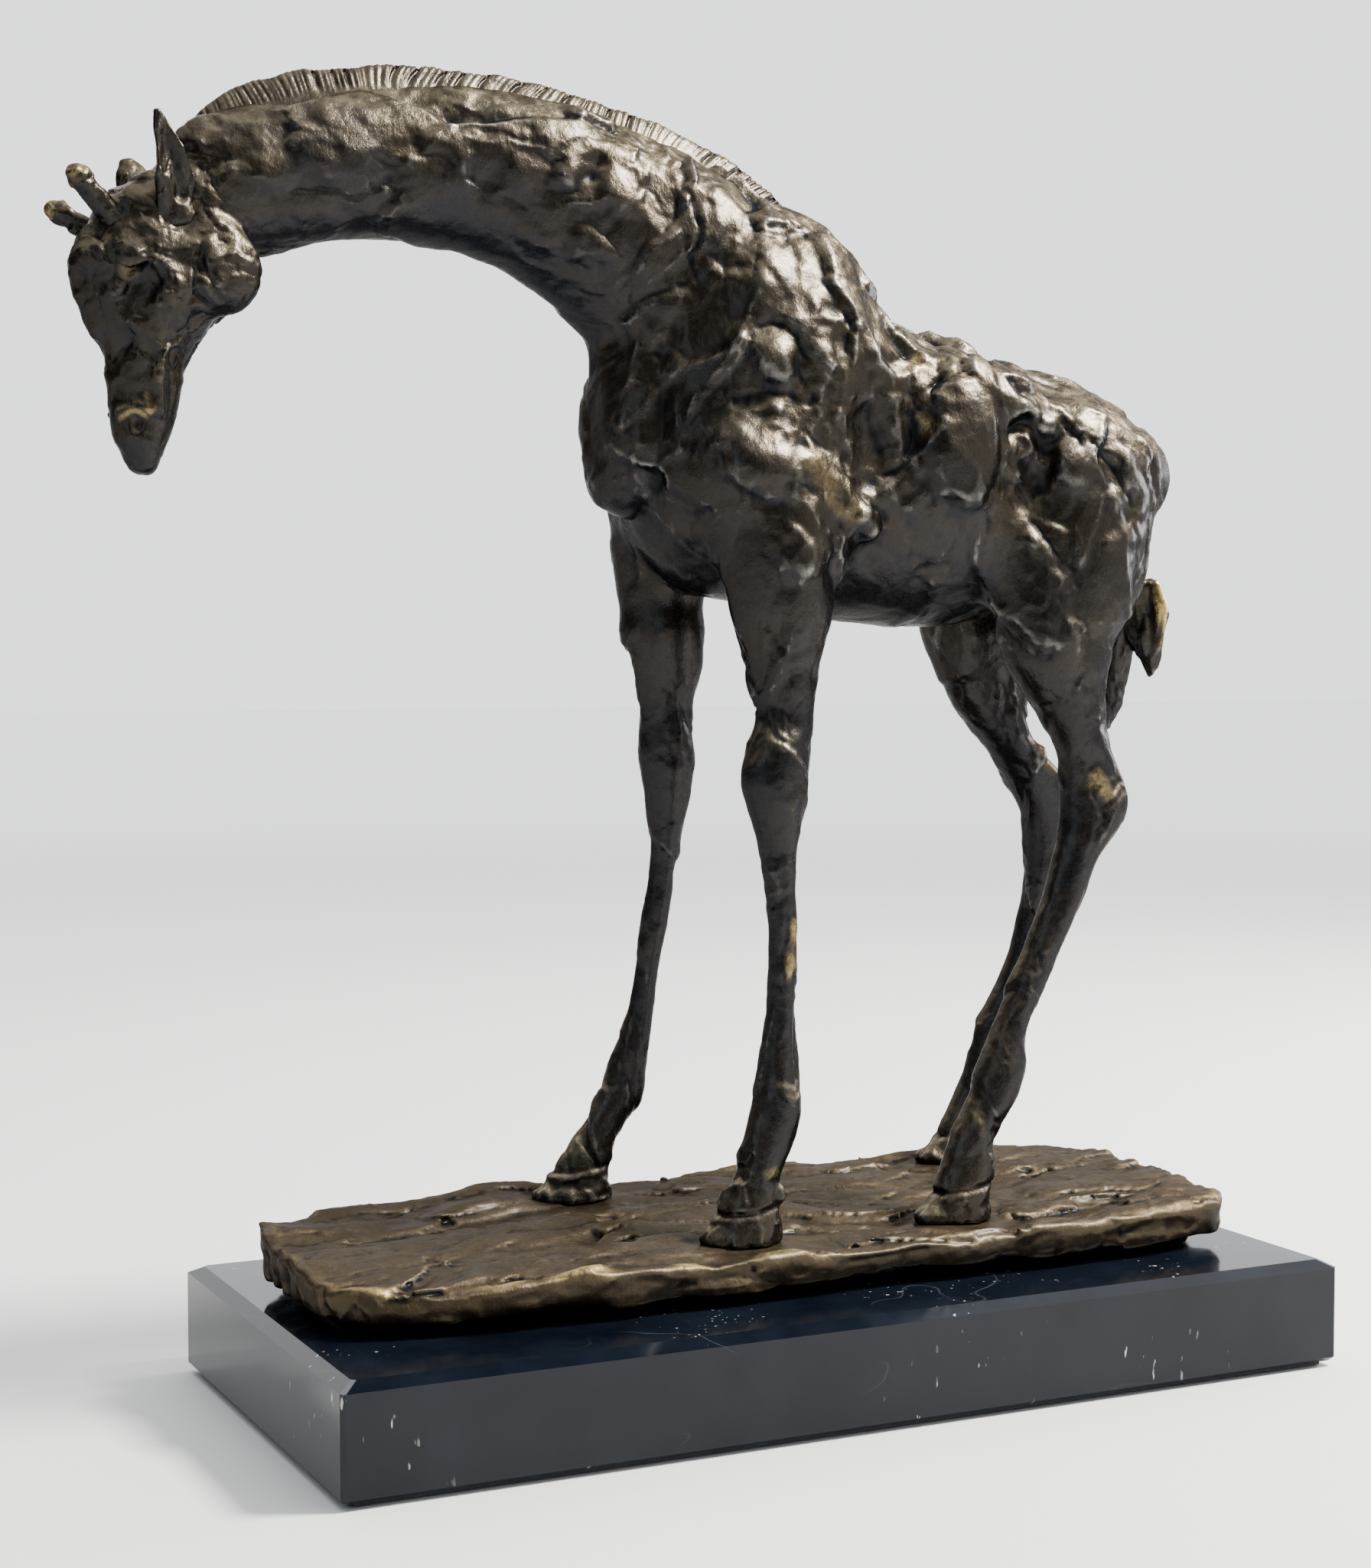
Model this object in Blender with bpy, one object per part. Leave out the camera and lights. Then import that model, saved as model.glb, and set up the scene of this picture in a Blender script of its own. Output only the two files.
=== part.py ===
"""Bronze giraffe grazing over a rough ground slab, bolted to a black marble plinth.

Frame: metres, +Z up, origin at the middle of the plinth's underside. The plinth's long side
runs along X, the giraffe faces -X and its left flank faces -Y.
The statue is an assembly: castings that meet at flat cut faces, as they come from the foundry
before welding, a marble plinth with felt under it, and two studs with washers and nuts.
"""
import math

import bmesh
import bpy
from mathutils import Vector

MM = 0.001
GAP = 0.3  # mm left between neighbouring pieces

# Plinth and fixings, mm
PLINTH_LENGTH, PLINTH_WIDTH, PLINTH_TOP = 305.0, 142.0, 31.0
PLINTH_CHAMFER = 4.0
EDGE_CHAMFER = 1.2
FELT_THICKNESS, FELT_INSET = 1.0, 3.0
STUD_X = (-62.0, 66.0)
STUD_Y = 2.0
STUD_RADIUS = 3.0
STUD_LOW, STUD_HIGH = 3.5, 40.0
HOLE_RADIUS = 3.6
COUNTERBORE_RADIUS, COUNTERBORE_TOP = 11.0, 11.3
WASHER_RADIUS, WASHER_THICKNESS = 9.0, 1.2
NUT_ACROSS_FLATS, NUT_HEIGHT = 10.0, 5.0

# Ground casting, mm
GROUND_CENTRE = (-2.5, 2.0)
GROUND_HALF = (141.0, 47.0)
GROUND_LOW = PLINTH_TOP + GAP
GROUND_MIDDLE, GROUND_SLOPE = 46.3, 0.05  # height of the top at y = 0, and its rise per mm of y
GROUND_WALL = 4.5
GROUND_CORNERS = 4.6, 9.0  # exponents of the outline: round at the -X end, squarer at the +X end
BOSS_RADIUS = 7.5
LUG_RADIUS, LUG_DEPTH = 2.4, 9.0

# Hollow castings, mm
WALL = 3.6

# Cuts between the castings
FORE_CUT, HIND_CUT = 222.0, 205.0
NECK_CUT = Vector((-32.0, 3.0, 319.0)), Vector((0.81, 0.0, -0.586))
HEAD_CUT = Vector((-160.0, 1.0, 328.0)), Vector((0.87, 0.0, 0.49))

# Torso: x, top, bottom, half width
TORSO = (
    (-51, 274, 258, 9), (-47, 291, 245, 19), (-38, 303, 235, 27), (-24, 315, 227, 32),
    (-7, 329, 223, 34), (8, 332, 221, 35), (20, 321, 219, 35), (33, 310, 217.5, 35),
    (48, 302, 216, 35), (63, 298.5, 217, 34.5), (79, 295.5, 222, 34), (94, 293, 230, 34.5),
    (107, 288, 234, 33), (116, 281.5, 237, 28), (123, 273, 241, 21), (127.5, 263, 248, 11),
)
BODY_Y = 3.0

# Neck: x, y, z of the spine, half depth, half width, half height of the mane on its crest
NECK = (
    (-171, 0, 321, 13, 10, 1.2), (-161, 1, 327.5, 17, 13, 1.4), (-143.5, 2, 334.5, 19.5, 14.5, 2.8),
    (-122, 2, 339, 20.5, 15, 4.6), (-99, 3, 340, 21.5, 16, 4.8), (-78, 3, 337.5, 23.5, 17.5, 4.8),
    (-53, 3, 329, 27.5, 20, 4.8), (-31.5, 3, 318, 32, 23.5, 4.8), (-12, 3, 301, 36, 28, 4.4),
    (6, 3, 286, 36, 28, 1.0),
)

MANE_HALF_WIDTH = 1.9
MANE_OFFSET = Vector((1.3, 0.0, -0.8))  # of the mane's middle from the crest, off the neck's own rings

# Legs: z, x, y, half length, half width, from the shoulder or hip down to the hoof
FORE_LEFT = (
    (268, -2, -16, 24, 16), (248, -4, -20, 22, 16), (230, -6.5, -22, 16.5, 13.5),
    (215, -6, -22, 14.5, 12), (200, -6.4, -23, 9.6, 8.6), (190, -6.2, -23.5, 8.2, 7.2),
    (182, -8.2, -24, 9.3, 8), (174, -9.5, -24, 10, 8.6), (166, -9.5, -24.5, 8.4, 7.6),
    (158, -9, -25, 6.2, 5.8), (146, -8.8, -25.5, 4.2, 4.2), (128, -8.3, -26, 4, 4),
    (108, -8.6, -27, 4.2, 4.1), (92, -9.8, -27.5, 5.8, 5.4), (80, -10.8, -28, 7, 6.4),
    (70, -14.1, -28, 7, 6), (62, -17.8, -28, 6.6, 6), (55, -19.4, -28, 8.4, 7.2),
    (None, -20.8, -28, 11, 8.4),
)
FORE_RIGHT = (
    (268, -10, 22, 23, 16), (248, -14, 25, 21, 15), (230, -21, 25, 13.5, 12),
    (215, -21.3, 24, 11.4, 10.5), (205, -20.2, 24, 10.4, 9), (193, -20.5, 24, 8.2, 7.4),
    (179, -19.2, 24.5, 9.2, 8), (168, -19, 25, 7.4, 6.8), (156, -19.5, 25.5, 4.9, 4.9),
    (140, -20.7, 26.5, 4.2, 4.2), (124, -23.4, 27.5, 4, 4), (103, -26.4, 29, 4.2, 4.1),
    (86, -30, 30.5, 6.3, 5.8), (77, -32, 31.5, 7.4, 6.4), (68, -38, 32.5, 7.4, 6),
    (60, -43, 33, 7.6, 6.4), (None, -45.5, 33, 10.6, 8.2),
)
HIND_LEFT = (
    (262, 97, -16, 24, 16), (245, 92, -20, 26, 15), (225, 88, -22, 24, 13.5),
    (205, 85, -23, 17, 11.5), (192, 89, -23.5, 12, 9.2), (180, 93.3, -24, 9.2, 7.8),
    (168, 97, -24, 11, 7.6), (158, 96, -24.5, 9.6, 7.2), (148, 90.4, -25, 6.8, 6),
    (135, 85.3, -25.5, 6, 5.2), (115, 75, -26, 5.2, 4.8), (97, 66.5, -26.5, 5.9, 5.4),
    (86, 63.3, -27, 8, 6.6), (78, 59.7, -27, 7.8, 6.4), (70, 54.5, -27, 7, 6),
    (60, 52.2, -27, 8, 6.6), (53, 50.5, -27, 9.2, 7.6), (None, 48.5, -27, 11, 8.2),
)
HIND_RIGHT = (
    (262, 100, 24, 24, 15), (245, 95, 25, 25, 15), (225, 89, 25, 22, 13.5),
    (205, 88, 24, 16, 11.5), (192, 91, 24, 11.8, 9.2), (180, 98.7, 24, 9.4, 7.8),
    (168, 109.5, 25, 10.8, 7.6), (158, 114, 26, 9.2, 7.2), (145, 113.8, 27, 6.4, 6),
    (123, 111.2, 29, 5.3, 5), (106, 106.6, 31, 5.4, 5), (89, 101, 33.5, 7.4, 6.4),
    (80, 98.6, 35, 7.6, 6.4), (68, 93, 36, 7.2, 6), (58, 89.6, 36, 8.6, 7),
    (None, 86.5, 36, 10.8, 8.2),
)

# Head, hanging down: z, x, y, half depth, half width
HEAD = (
    (329, -176, 0.5, 7, 6), (325, -177, 0.5, 13, 10.5), (318, -176, 0.5, 18, 13),
    (310, -174, 0.5, 20.6, 14.5), (301, -175.2, 0, 20.8, 15), (292, -178, 0, 14.8, 12.5),
    (284, -179.8, 0, 11, 9.5), (276, -180.2, 0, 9.2, 8), (267, -181, 0, 8, 7.8),
    (261.5, -181.2, 0, 6, 7), (257, -180.6, 0, 3, 4.4),
)

# Horns and ears: base, tip, radii along the way; an ear also has the ratio of thickness to width
OSSICONES = {
    "ossicone_left": (Vector((-187, -4.5, 317)), Vector((-199.5, -8.5, 329))),
    "ossicone_right": (Vector((-188, 5.5, 315)), Vector((-201, 10, 322.5))),
}
OSSICONE_RADII = ((0.0, 3.6), (0.35, 3.0), (0.7, 2.6), (0.85, 3.2), (0.96, 3.0), (1.0, 1.6))
EARS = {
    "ear_left": (Vector((-172.5, -8, 321)), Vector((-179.5, -12.5, 344)), Vector((0.95, 0.3, 0.2))),
    "ear_right": (Vector((-172, 7, 320)), Vector((-180, 16, 336.5)), Vector((0.9, 0.2, 0.3))),
}
EAR_RADII = ((0.0, 3.0), (0.2, 3.6), (0.45, 5.0), (0.7, 4.4), (0.9, 2.4), (1.0, 1.0))
EAR_THICKNESS = 0.42

# Tail: z, x, y, half depth, half width, and the second lock that leaves it halfway down
TAIL = (
    (245, 119, 3, 5, 4.5), (238, 125.5, 3, 5, 4.6), (230, 129.5, 3, 4.4, 4.8),
    (221, 132, 3, 4.8, 5), (212, 133.5, 2, 4, 4.6), (206, 135, 1.5, 2.8, 3.2), (202, 136, 1, 1.4, 1.8),
)
TAIL_LOCK = (
    (226, 129.5, 5, 3.4, 4.4), (214, 130.5, 9, 4.6, 4.8), (202, 130.5, 13, 5, 5),
    (192, 130, 15, 4.2, 4.2), (186, 129.5, 16, 2, 2.4),
)

# Finishes: base colour, metallic, roughness
BRONZE = ("bronze_patina", (0.095, 0.078, 0.058), 1.0, 0.38)
MARBLE = ("black_marble", (0.012, 0.014, 0.018), 0.0, 0.08)
FELT = ("felt", (0.01, 0.01, 0.012), 0.0, 0.95)
STEEL = ("zinc_steel", (0.55, 0.55, 0.56), 1.0, 0.35)

SIDES = 18


def clear_scene():
    for obj in list(bpy.data.objects):
        bpy.data.objects.remove(obj, do_unlink=True)


def material(finish):
    name, colour, metallic, roughness = finish
    found = bpy.data.materials.get(name)
    if found:
        return found
    made = bpy.data.materials.new(name)
    made.use_nodes = True
    shader = made.node_tree.nodes["Principled BSDF"]
    shader.inputs["Base Color"].default_value = (*colour, 1.0)
    shader.inputs["Metallic"].default_value = metallic
    shader.inputs["Roughness"].default_value = roughness
    made.diffuse_color = (*colour, 1.0)
    return made


def mesh_object(name, bm, finish):
    """Turn a bmesh drawn in millimetres into an object in metres."""
    for vert in bm.verts:
        vert.co *= MM
    bmesh.ops.triangulate(bm, faces=bm.faces)
    bmesh.ops.recalc_face_normals(bm, faces=bm.faces)
    mesh = bpy.data.meshes.new(name)
    bm.to_mesh(mesh)
    bm.free()
    mesh.materials.append(material(finish))
    mesh.shade_smooth()
    mesh.set_sharp_from_angle(angle=math.radians(40))
    obj = bpy.data.objects.new(name, mesh)
    bpy.context.collection.objects.link(obj)
    return obj


def ellipse(centre, side_u, side_v, half_u, half_v, count=SIDES):
    turns = (2 * math.pi * i / count for i in range(count))
    return [centre + side_u * (half_u * math.cos(t)) + side_v * (half_v * math.sin(t)) for t in turns]


def loft(name, rings, finish):
    """Skin a list of rings that all have the same number of points, and close both ends."""
    bm = bmesh.new()
    loops = [[bm.verts.new(point) for point in ring] for ring in rings]
    count = len(rings[0])
    for low, high in zip(loops, loops[1:]):
        for i in range(count):
            j = (i + 1) % count
            bm.faces.new((low[i], low[j], high[j], high[i]))
    bm.faces.new(loops[0])
    bm.faces.new(loops[-1])
    return mesh_object(name, bm, finish)


def boolean(target, tool, operation):
    """Apply an exact Boolean to the target and remove the tool."""
    modifier = target.modifiers.new(operation, "BOOLEAN")
    modifier.operation = operation
    modifier.solver = "EXACT"
    modifier.object = tool
    bpy.context.view_layer.update()
    view = bpy.context.evaluated_depsgraph_get()
    result = bpy.data.meshes.new_from_object(target.evaluated_get(view), depsgraph=view)
    target.modifiers.clear()
    target.data = result
    bpy.data.objects.remove(tool, do_unlink=True)
    return target


def join(target, *tools):
    for tool in tools:
        boolean(target, tool, "UNION")
    return target


def cut(target, *tools):
    for tool in tools:
        boolean(target, tool, "DIFFERENCE")
    return target


def copy_of(obj, name):
    twin = bpy.data.objects.new(name, obj.data.copy())
    bpy.context.collection.objects.link(twin)
    return twin


def rod(name, x, y, low, high, radius, finish=STEEL, sides=24):
    across, along = Vector((1, 0, 0)), Vector((0, 1, 0))
    rings = [ellipse(Vector((x, y, z)), across, along, radius, radius, sides) for z in (low, high)]
    return loft(name, rings, finish)


def half_space(point, normal, size=400.0):
    """A big block that fills the side of a plane that its normal points to."""
    normal = normal.normalized()
    side_u = normal.orthogonal().normalized()
    side_v = normal.cross(side_u)
    corners = ((-1, -1), (1, -1), (1, 1), (-1, 1))
    rings = []
    for depth in (0.0, size):
        middle = point + normal * depth
        rings.append([middle + side_u * (size * u) + side_v * (size * v) for u, v in corners])
    return loft("half_space", rings, STEEL)


def keep_side(obj, point, normal):
    """Keep what lies on the normal's side of a plane, half a gap back from it."""
    normal = normal.normalized()
    return cut(obj, half_space(point + normal * (GAP / 2), -normal))


def ground_top(y):
    return GROUND_MIDDLE + GROUND_SLOPE * y


# ---- plinth, felt and fixings -------------------------------------------------------------


def plinth_ring(z, inset, corner):
    """A rectangle with small chamfered corners."""
    half_x, half_y = PLINTH_LENGTH / 2 - inset, PLINTH_WIDTH / 2 - inset
    points = []
    for sign_x, sign_y in ((1, 1), (-1, 1), (-1, -1), (1, -1)):
        pair = [(half_x - corner, half_y), (half_x, half_y - corner)]
        if sign_x * sign_y > 0:
            pair.reverse()
        points += [Vector((sign_x * px, sign_y * py, z)) for px, py in pair]
    return points


def make_plinth():
    low = FELT_THICKNESS + GAP
    levels = (
        (low, EDGE_CHAMFER), (low + EDGE_CHAMFER, 0.0),
        (PLINTH_TOP - PLINTH_CHAMFER * 0.55, 0.0), (PLINTH_TOP, PLINTH_CHAMFER),
    )
    plinth = loft("marble_plinth", [plinth_ring(z, inset, EDGE_CHAMFER) for z, inset in levels], MARBLE)
    for x in STUD_X:
        cut(plinth, rod("hole", x, STUD_Y, -5, PLINTH_TOP + 5, HOLE_RADIUS))
        cut(plinth, rod("counterbore", x, STUD_Y, -5, COUNTERBORE_TOP, COUNTERBORE_RADIUS, sides=32))
    return plinth


def make_felt():
    rings = [plinth_ring(z, FELT_INSET, EDGE_CHAMFER) for z in (0.0, FELT_THICKNESS)]
    return loft("felt_pad", rings, FELT)


def make_fixings():
    washer_high = COUNTERBORE_TOP - GAP
    washer_low = washer_high - WASHER_THICKNESS
    nut_high = washer_low - GAP
    for side, x in zip(("front", "rear"), STUD_X):
        rod(f"stud_{side}", x, STUD_Y, STUD_LOW, STUD_HIGH, STUD_RADIUS)
        washer = rod(f"washer_{side}", x, STUD_Y, washer_low, washer_high, WASHER_RADIUS)
        cut(washer, rod("hole", x, STUD_Y, 0, PLINTH_TOP, STUD_RADIUS + GAP))
        corner = NUT_ACROSS_FLATS / 2 / math.cos(math.pi / 6)
        nut = rod(f"nut_{side}", x, STUD_Y, nut_high - NUT_HEIGHT, nut_high, corner, sides=6)
        cut(nut, rod("hole", x, STUD_Y, 0, PLINTH_TOP, STUD_RADIUS + GAP))


# ---- ground casting -----------------------------------------------------------------------


def ground_ring(inset, height, count=56):
    """The slab's rounded outline at an inset; height is a level, or a function of y."""
    half_x, half_y = GROUND_HALF[0] - inset, GROUND_HALF[1] - inset
    ring = []
    for i in range(count):
        turn = 2 * math.pi * i / count
        c, s = math.cos(turn), math.sin(turn)
        power = 2.0 / GROUND_CORNERS[c > 0]
        x = GROUND_CENTRE[0] + half_x * math.copysign(abs(c) ** power, c)
        y = GROUND_CENTRE[1] + half_y * math.copysign(abs(s) ** power, s)
        ring.append(Vector((x, y, height(y) if callable(height) else height)))
    return ring


def make_ground(hooves):
    rings = [
        ground_ring(10.0, GROUND_LOW), ground_ring(9.0, GROUND_LOW + 2.6),
        ground_ring(2.0, GROUND_LOW + 3.4), ground_ring(0.0, GROUND_LOW + 6.0),
        ground_ring(0.4, lambda y: ground_top(y) - 4.0), ground_ring(2.6, lambda y: ground_top(y) - 1.2),
        ground_ring(7.0, ground_top),
    ]
    slab = loft("ground_casting", rings, BRONZE)
    inner = 10.0 + GROUND_WALL
    recess = loft("recess", [
        ground_ring(inner, GROUND_LOW - 5.0),
        ground_ring(inner + 1.0, lambda y: ground_top(y) - GROUND_WALL),
    ], BRONZE)
    cut(slab, recess)
    for x in STUD_X:
        join(slab, rod("boss", x, STUD_Y, GROUND_LOW, ground_top(0) - 2, BOSS_RADIUS, BRONZE))
        cut(slab, rod("hole", x, STUD_Y, 0, STUD_HIGH + GAP, STUD_RADIUS + GAP))
    for x, y in hooves:
        cut(slab, rod("lug_hole", x, y, 0, 100, LUG_RADIUS + GAP, sides=16))
    return slab


# ---- giraffe ------------------------------------------------------------------------------


def torso_rings(inset=0.0, skip=0):
    along, up = Vector((0, 1, 0)), Vector((0, 0, 1))
    rings = []
    for x, top, bottom, half in TORSO[skip:len(TORSO) - skip]:
        centre = Vector((x, BODY_Y, (top + bottom) / 2))
        height = max((top - bottom) / 2 - inset, 2.0)
        rings.append(ellipse(centre, along, up, max(half - inset, 2.0), height, SIDES + 6))
    return rings


def spine_frames(stations):
    """Centre, sideways and upward directions at each station of a spine that bends in the XZ plane."""
    points = [Vector(station[:3]) for station in stations]
    across = Vector((0, 1, 0))
    for i, point in enumerate(points):
        ahead = points[min(i + 1, len(points) - 1)] - points[max(i - 1, 0)]
        yield point, across, ahead.cross(across).normalized()


def spine_rings(stations, inset=0.0):
    return [
        ellipse(point, across, up, station[4] - inset, station[3] - inset, SIDES + 2)
        for station, (point, across, up) in zip(stations, spine_frames(stations))
    ]


def mane_rings():
    """The mane is a narrow ridge whose middle follows the crest of the neck."""
    frames = list(zip(NECK, spine_frames(NECK)))[1:-1]
    return [
        ellipse(point + MANE_OFFSET + up * station[3], across, up, MANE_HALF_WIDTH, station[5], 10)
        for station, (point, across, up) in frames
    ]


def level_rings(stations, sides=SIDES, grow=0.0):
    """Level rings of a form that hangs or stands; a height of None is the sole on the ground."""
    along, across = Vector((1, 0, 0)), Vector((0, 1, 0))
    rings = []
    for z, x, y, half_x, half_y in stations:
        ring = ellipse(Vector((x, y, z or 0.0)), along, across, half_x + grow, half_y + grow, sides)
        if z is None:
            for point in ring:
                point.z = ground_top(point.y) + GAP
        rings.append(ring)
    return rings


def taper_rings(base, tip, radii, flat=None, ratio=1.0, sides=12):
    """Rings from base to tip; flat is the side-to-side direction of a flattened form."""
    ahead = (tip - base).normalized()
    side_u = (flat - ahead * flat.dot(ahead)).normalized() if flat else ahead.orthogonal().normalized()
    side_v = ahead.cross(side_u)
    return [
        ellipse(base.lerp(tip, part), side_u, side_v, radius, radius * ratio, sides)
        for part, radius in radii
    ]


def make_legs(torso):
    """Cut each leg below its joint and leave the rest of its form on the torso."""
    legs = {
        "fore_leg_left": (FORE_LEFT, FORE_CUT), "fore_leg_right": (FORE_RIGHT, FORE_CUT),
        "hind_leg_left": (HIND_LEFT, HIND_CUT), "hind_leg_right": (HIND_RIGHT, HIND_CUT),
    }
    down = Vector((0, 0, -1))
    hooves = []
    for name, (stations, level) in legs.items():
        joint = Vector((0, 0, level))
        leg = loft(name, level_rings(stations), BRONZE)
        upper = keep_side(copy_of(leg, "upper"), joint, -down)
        join(torso, upper)
        keep_side(leg, joint, down)
        x, y = stations[-1][1:3]
        sole = ground_top(y)
        join(leg, rod("lug", x, y, sole - LUG_DEPTH, sole + 6, LUG_RADIUS, BRONZE, sides=16))
        hooves.append((x, y))
    return hooves


def make_neck(torso):
    """The neck is a tube; its root stays on the torso, and its front end on the head."""
    neck = loft("neck_casting", spine_rings(NECK), BRONZE)
    join(neck, loft("mane", mane_rings(), BRONZE))
    core = loft("neck_core", spine_rings(NECK[1:], WALL), BRONZE)
    root = copy_of(neck, "neck_root")
    join(torso, keep_side(root, *NECK_CUT))
    head_root = copy_of(neck, "head_root")
    point, normal = NECK_CUT
    keep_side(neck, point, -normal)
    keep_side(neck, *HEAD_CUT)
    cut(neck, copy_of(core, "core"))
    return core, head_root


def make_torso():
    torso = loft("torso_casting", torso_rings(), BRONZE)
    hooves = make_legs(torso)
    core, head_root = make_neck(torso)
    cut(torso, loft("core", torso_rings(WALL, 1), BRONZE), core)
    return hooves, head_root


def make_head(head_root):
    head = loft("head_casting", level_rings(HEAD), BRONZE)
    join(head, head_root)
    point, normal = HEAD_CUT
    keep_side(head, point, -normal)
    for name, (base, tip) in OSSICONES.items():
        clear_head(loft(name, taper_rings(base, tip, OSSICONE_RADII), BRONZE))
    for name, (base, tip, flat) in EARS.items():
        clear_head(loft(name, taper_rings(base, tip, EAR_RADII, flat, EAR_THICKNESS, 14), BRONZE))


def clear_head(piece):
    """Trim the root of a horn or an ear to just clear of the head and the neck."""
    cut(piece, loft("head_skin", level_rings(HEAD, grow=GAP), BRONZE))
    cut(piece, loft("neck_skin", spine_rings(NECK, -GAP), BRONZE))


def make_tail():
    tail = loft("tail_casting", level_rings(TAIL, 12), BRONZE)
    join(tail, loft("lock", level_rings(TAIL_LOCK, 12), BRONZE))
    cut(tail, loft("torso_skin", torso_rings(-GAP), BRONZE))


def main():
    clear_scene()
    make_felt()
    make_plinth()
    make_fixings()
    hooves, head_root = make_torso()
    make_head(head_root)
    make_tail()
    make_ground(hooves)


main()
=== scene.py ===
"""The looks of a cast bronze giraffe that grazes over a rough ground slab on a black marble plinth.

The bronze is sculpted in code, in millimetres: each casting is a field of signed distances in which
soft forms are blended together, its surface is meshed, and tool marks are pressed into that mesh.
Castings that meet are trimmed at the flat cuts between them. The meshes are in metres.
"""

import itertools
import math

import bmesh
import bpy
import numpy as np
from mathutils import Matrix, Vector


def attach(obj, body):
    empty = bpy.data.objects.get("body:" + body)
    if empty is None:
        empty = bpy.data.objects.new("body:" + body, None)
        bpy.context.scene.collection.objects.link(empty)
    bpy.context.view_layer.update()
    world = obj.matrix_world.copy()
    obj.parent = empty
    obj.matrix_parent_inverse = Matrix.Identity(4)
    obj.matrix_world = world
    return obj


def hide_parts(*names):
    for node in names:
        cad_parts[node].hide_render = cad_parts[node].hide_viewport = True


MM = 0.001

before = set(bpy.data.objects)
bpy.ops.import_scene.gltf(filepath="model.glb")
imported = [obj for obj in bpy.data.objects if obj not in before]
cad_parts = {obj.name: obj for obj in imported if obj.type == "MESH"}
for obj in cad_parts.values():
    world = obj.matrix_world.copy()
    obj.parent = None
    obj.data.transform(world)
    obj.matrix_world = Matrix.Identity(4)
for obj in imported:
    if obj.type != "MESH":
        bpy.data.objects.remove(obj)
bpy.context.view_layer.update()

# The camera stands to the front left of the statue, a little above its belly
CAMERA_PLACE = (-0.35188517, -0.67612735, 0.20985601)
CAMERA_AZIMUTH, CAMERA_DROP = -25.7712, 2.9418  # degrees
CAMERA_LENS = 60.576  # on a 36 mm sensor
SIGHT = np.array(CAMERA_PLACE) / MM

BODY_Y = 3.0  # middle plane of the body, mm
FORE_CUT, HIND_CUT = 222.0, 205.0  # levels at which the legs meet the torso, mm
FORE_LEGS_END = 40.0  # x between the fore and the hind legs, mm

# Ground slab, mm: height of its top in the middle, rise to the far side, centre and half size in plan,
# squareness of its left and right corners, and its underside
GROUND_MIDDLE, GROUND_SLOPE = 46.3, 0.05
GROUND_CENTRE, GROUND_HALF = (-2.5, 2.0), (141.0, 47.0)
GROUND_CORNERS = 4.6, 9.0
GROUND_LOW = 31.3

ARRIS = 0.9  # width of the polished edges of the plinth, mm

FLOOR_HALF, FLOOR_LEVEL = 8.0, -0.0004  # m
ROOM_COLOUR, ROOM_LIGHT = (0.93, 0.945, 0.96), 2.1
BRIGHT_SIDE = (0.72, 0.38, 0.58)
LAMP_TARGET = (0.0, 0.0, 0.2)
# Lamps: name, place in m, size in m, power in W, colour
LAMPS = (
    ("key", (0.95, -0.45, 1.35), 0.40, 120, (1.0, 0.98, 0.95)),
    ("fill", (-1.5, -0.9, 0.8), 1.0, 5, (0.62, 0.80, 1.0)),
    ("side", (1.25, 0.15, 0.45), 0.45, 20, (1.0, 0.98, 0.96)),
    ("rim", (-0.2, 1.4, 1.3), 0.8, 8, (0.95, 0.97, 1.0)),
)

# ---- noise ---------------------------------------------------------------------------------

TABLE_SIZE = 4096  # rows of random numbers that the lattices draw from
TABLE = np.random.default_rng(11).random((TABLE_SIZE, 8)).astype(np.float32)
# A rotation that keeps the lattices of noise out of line with the axes and with each other
TURNED = np.array([[0.80, 0.36, -0.48], [-0.60, 0.48, -0.64], [0.0, 0.80, 0.60]])


def drawn(cells, seed):
    """Eight random numbers for each cell of a lattice."""
    mixed = cells[:, 0] * 73856093 ^ cells[:, 1] * 19349663 ^ cells[:, 2] * 83492791 ^ seed * 2654435
    mixed = (mixed ^ mixed >> 11) * 1274126177
    return TABLE[(mixed ^ mixed >> 15) & (TABLE_SIZE - 1)]


def noise(points, size, seed):
    """Smooth noise from -1 to 1 whose lumps are about size mm across."""
    scaled = points @ TURNED / size
    cell = np.floor(scaled).astype(np.int64)
    part = scaled - cell
    part = part * part * (3 - 2 * part)
    total = np.zeros(len(points))
    for corner in itertools.product((0, 1), repeat=3):
        weight = np.prod(np.where(corner, part, 1 - part), axis=1)
        total += weight * drawn(cell + np.array(corner), seed)[:, 0]
    return total * 2 - 1


def wander(points, size, seed):
    """A smooth random shift in x, y and z, up to 1 in each."""
    return np.stack([noise(points, size, seed + k) for k in range(3)], 1)


def dabs(points, size, seed, stretch=(1.0, 1.0, 1.0)):
    """Clay pressed on in overlapping dabs: the upper envelope of tilted domes, about 1 high."""
    scaled = points / (size * np.array(stretch))
    cell = np.floor(scaled).astype(np.int64)
    top = np.full(len(points), -9.0)
    for offset in itertools.product((-1, 0, 1), repeat=3):
        near = cell + np.array(offset)
        chance = drawn(near, seed)
        away = scaled - near - chance[:, :3]
        height = 0.7 * chance[:, 6] + (away * (chance[:, 3:6] - 0.5)).sum(1) * 1.5 - (away**2).sum(1)
        top = np.maximum(top, height)
    return top - 0.35


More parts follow.
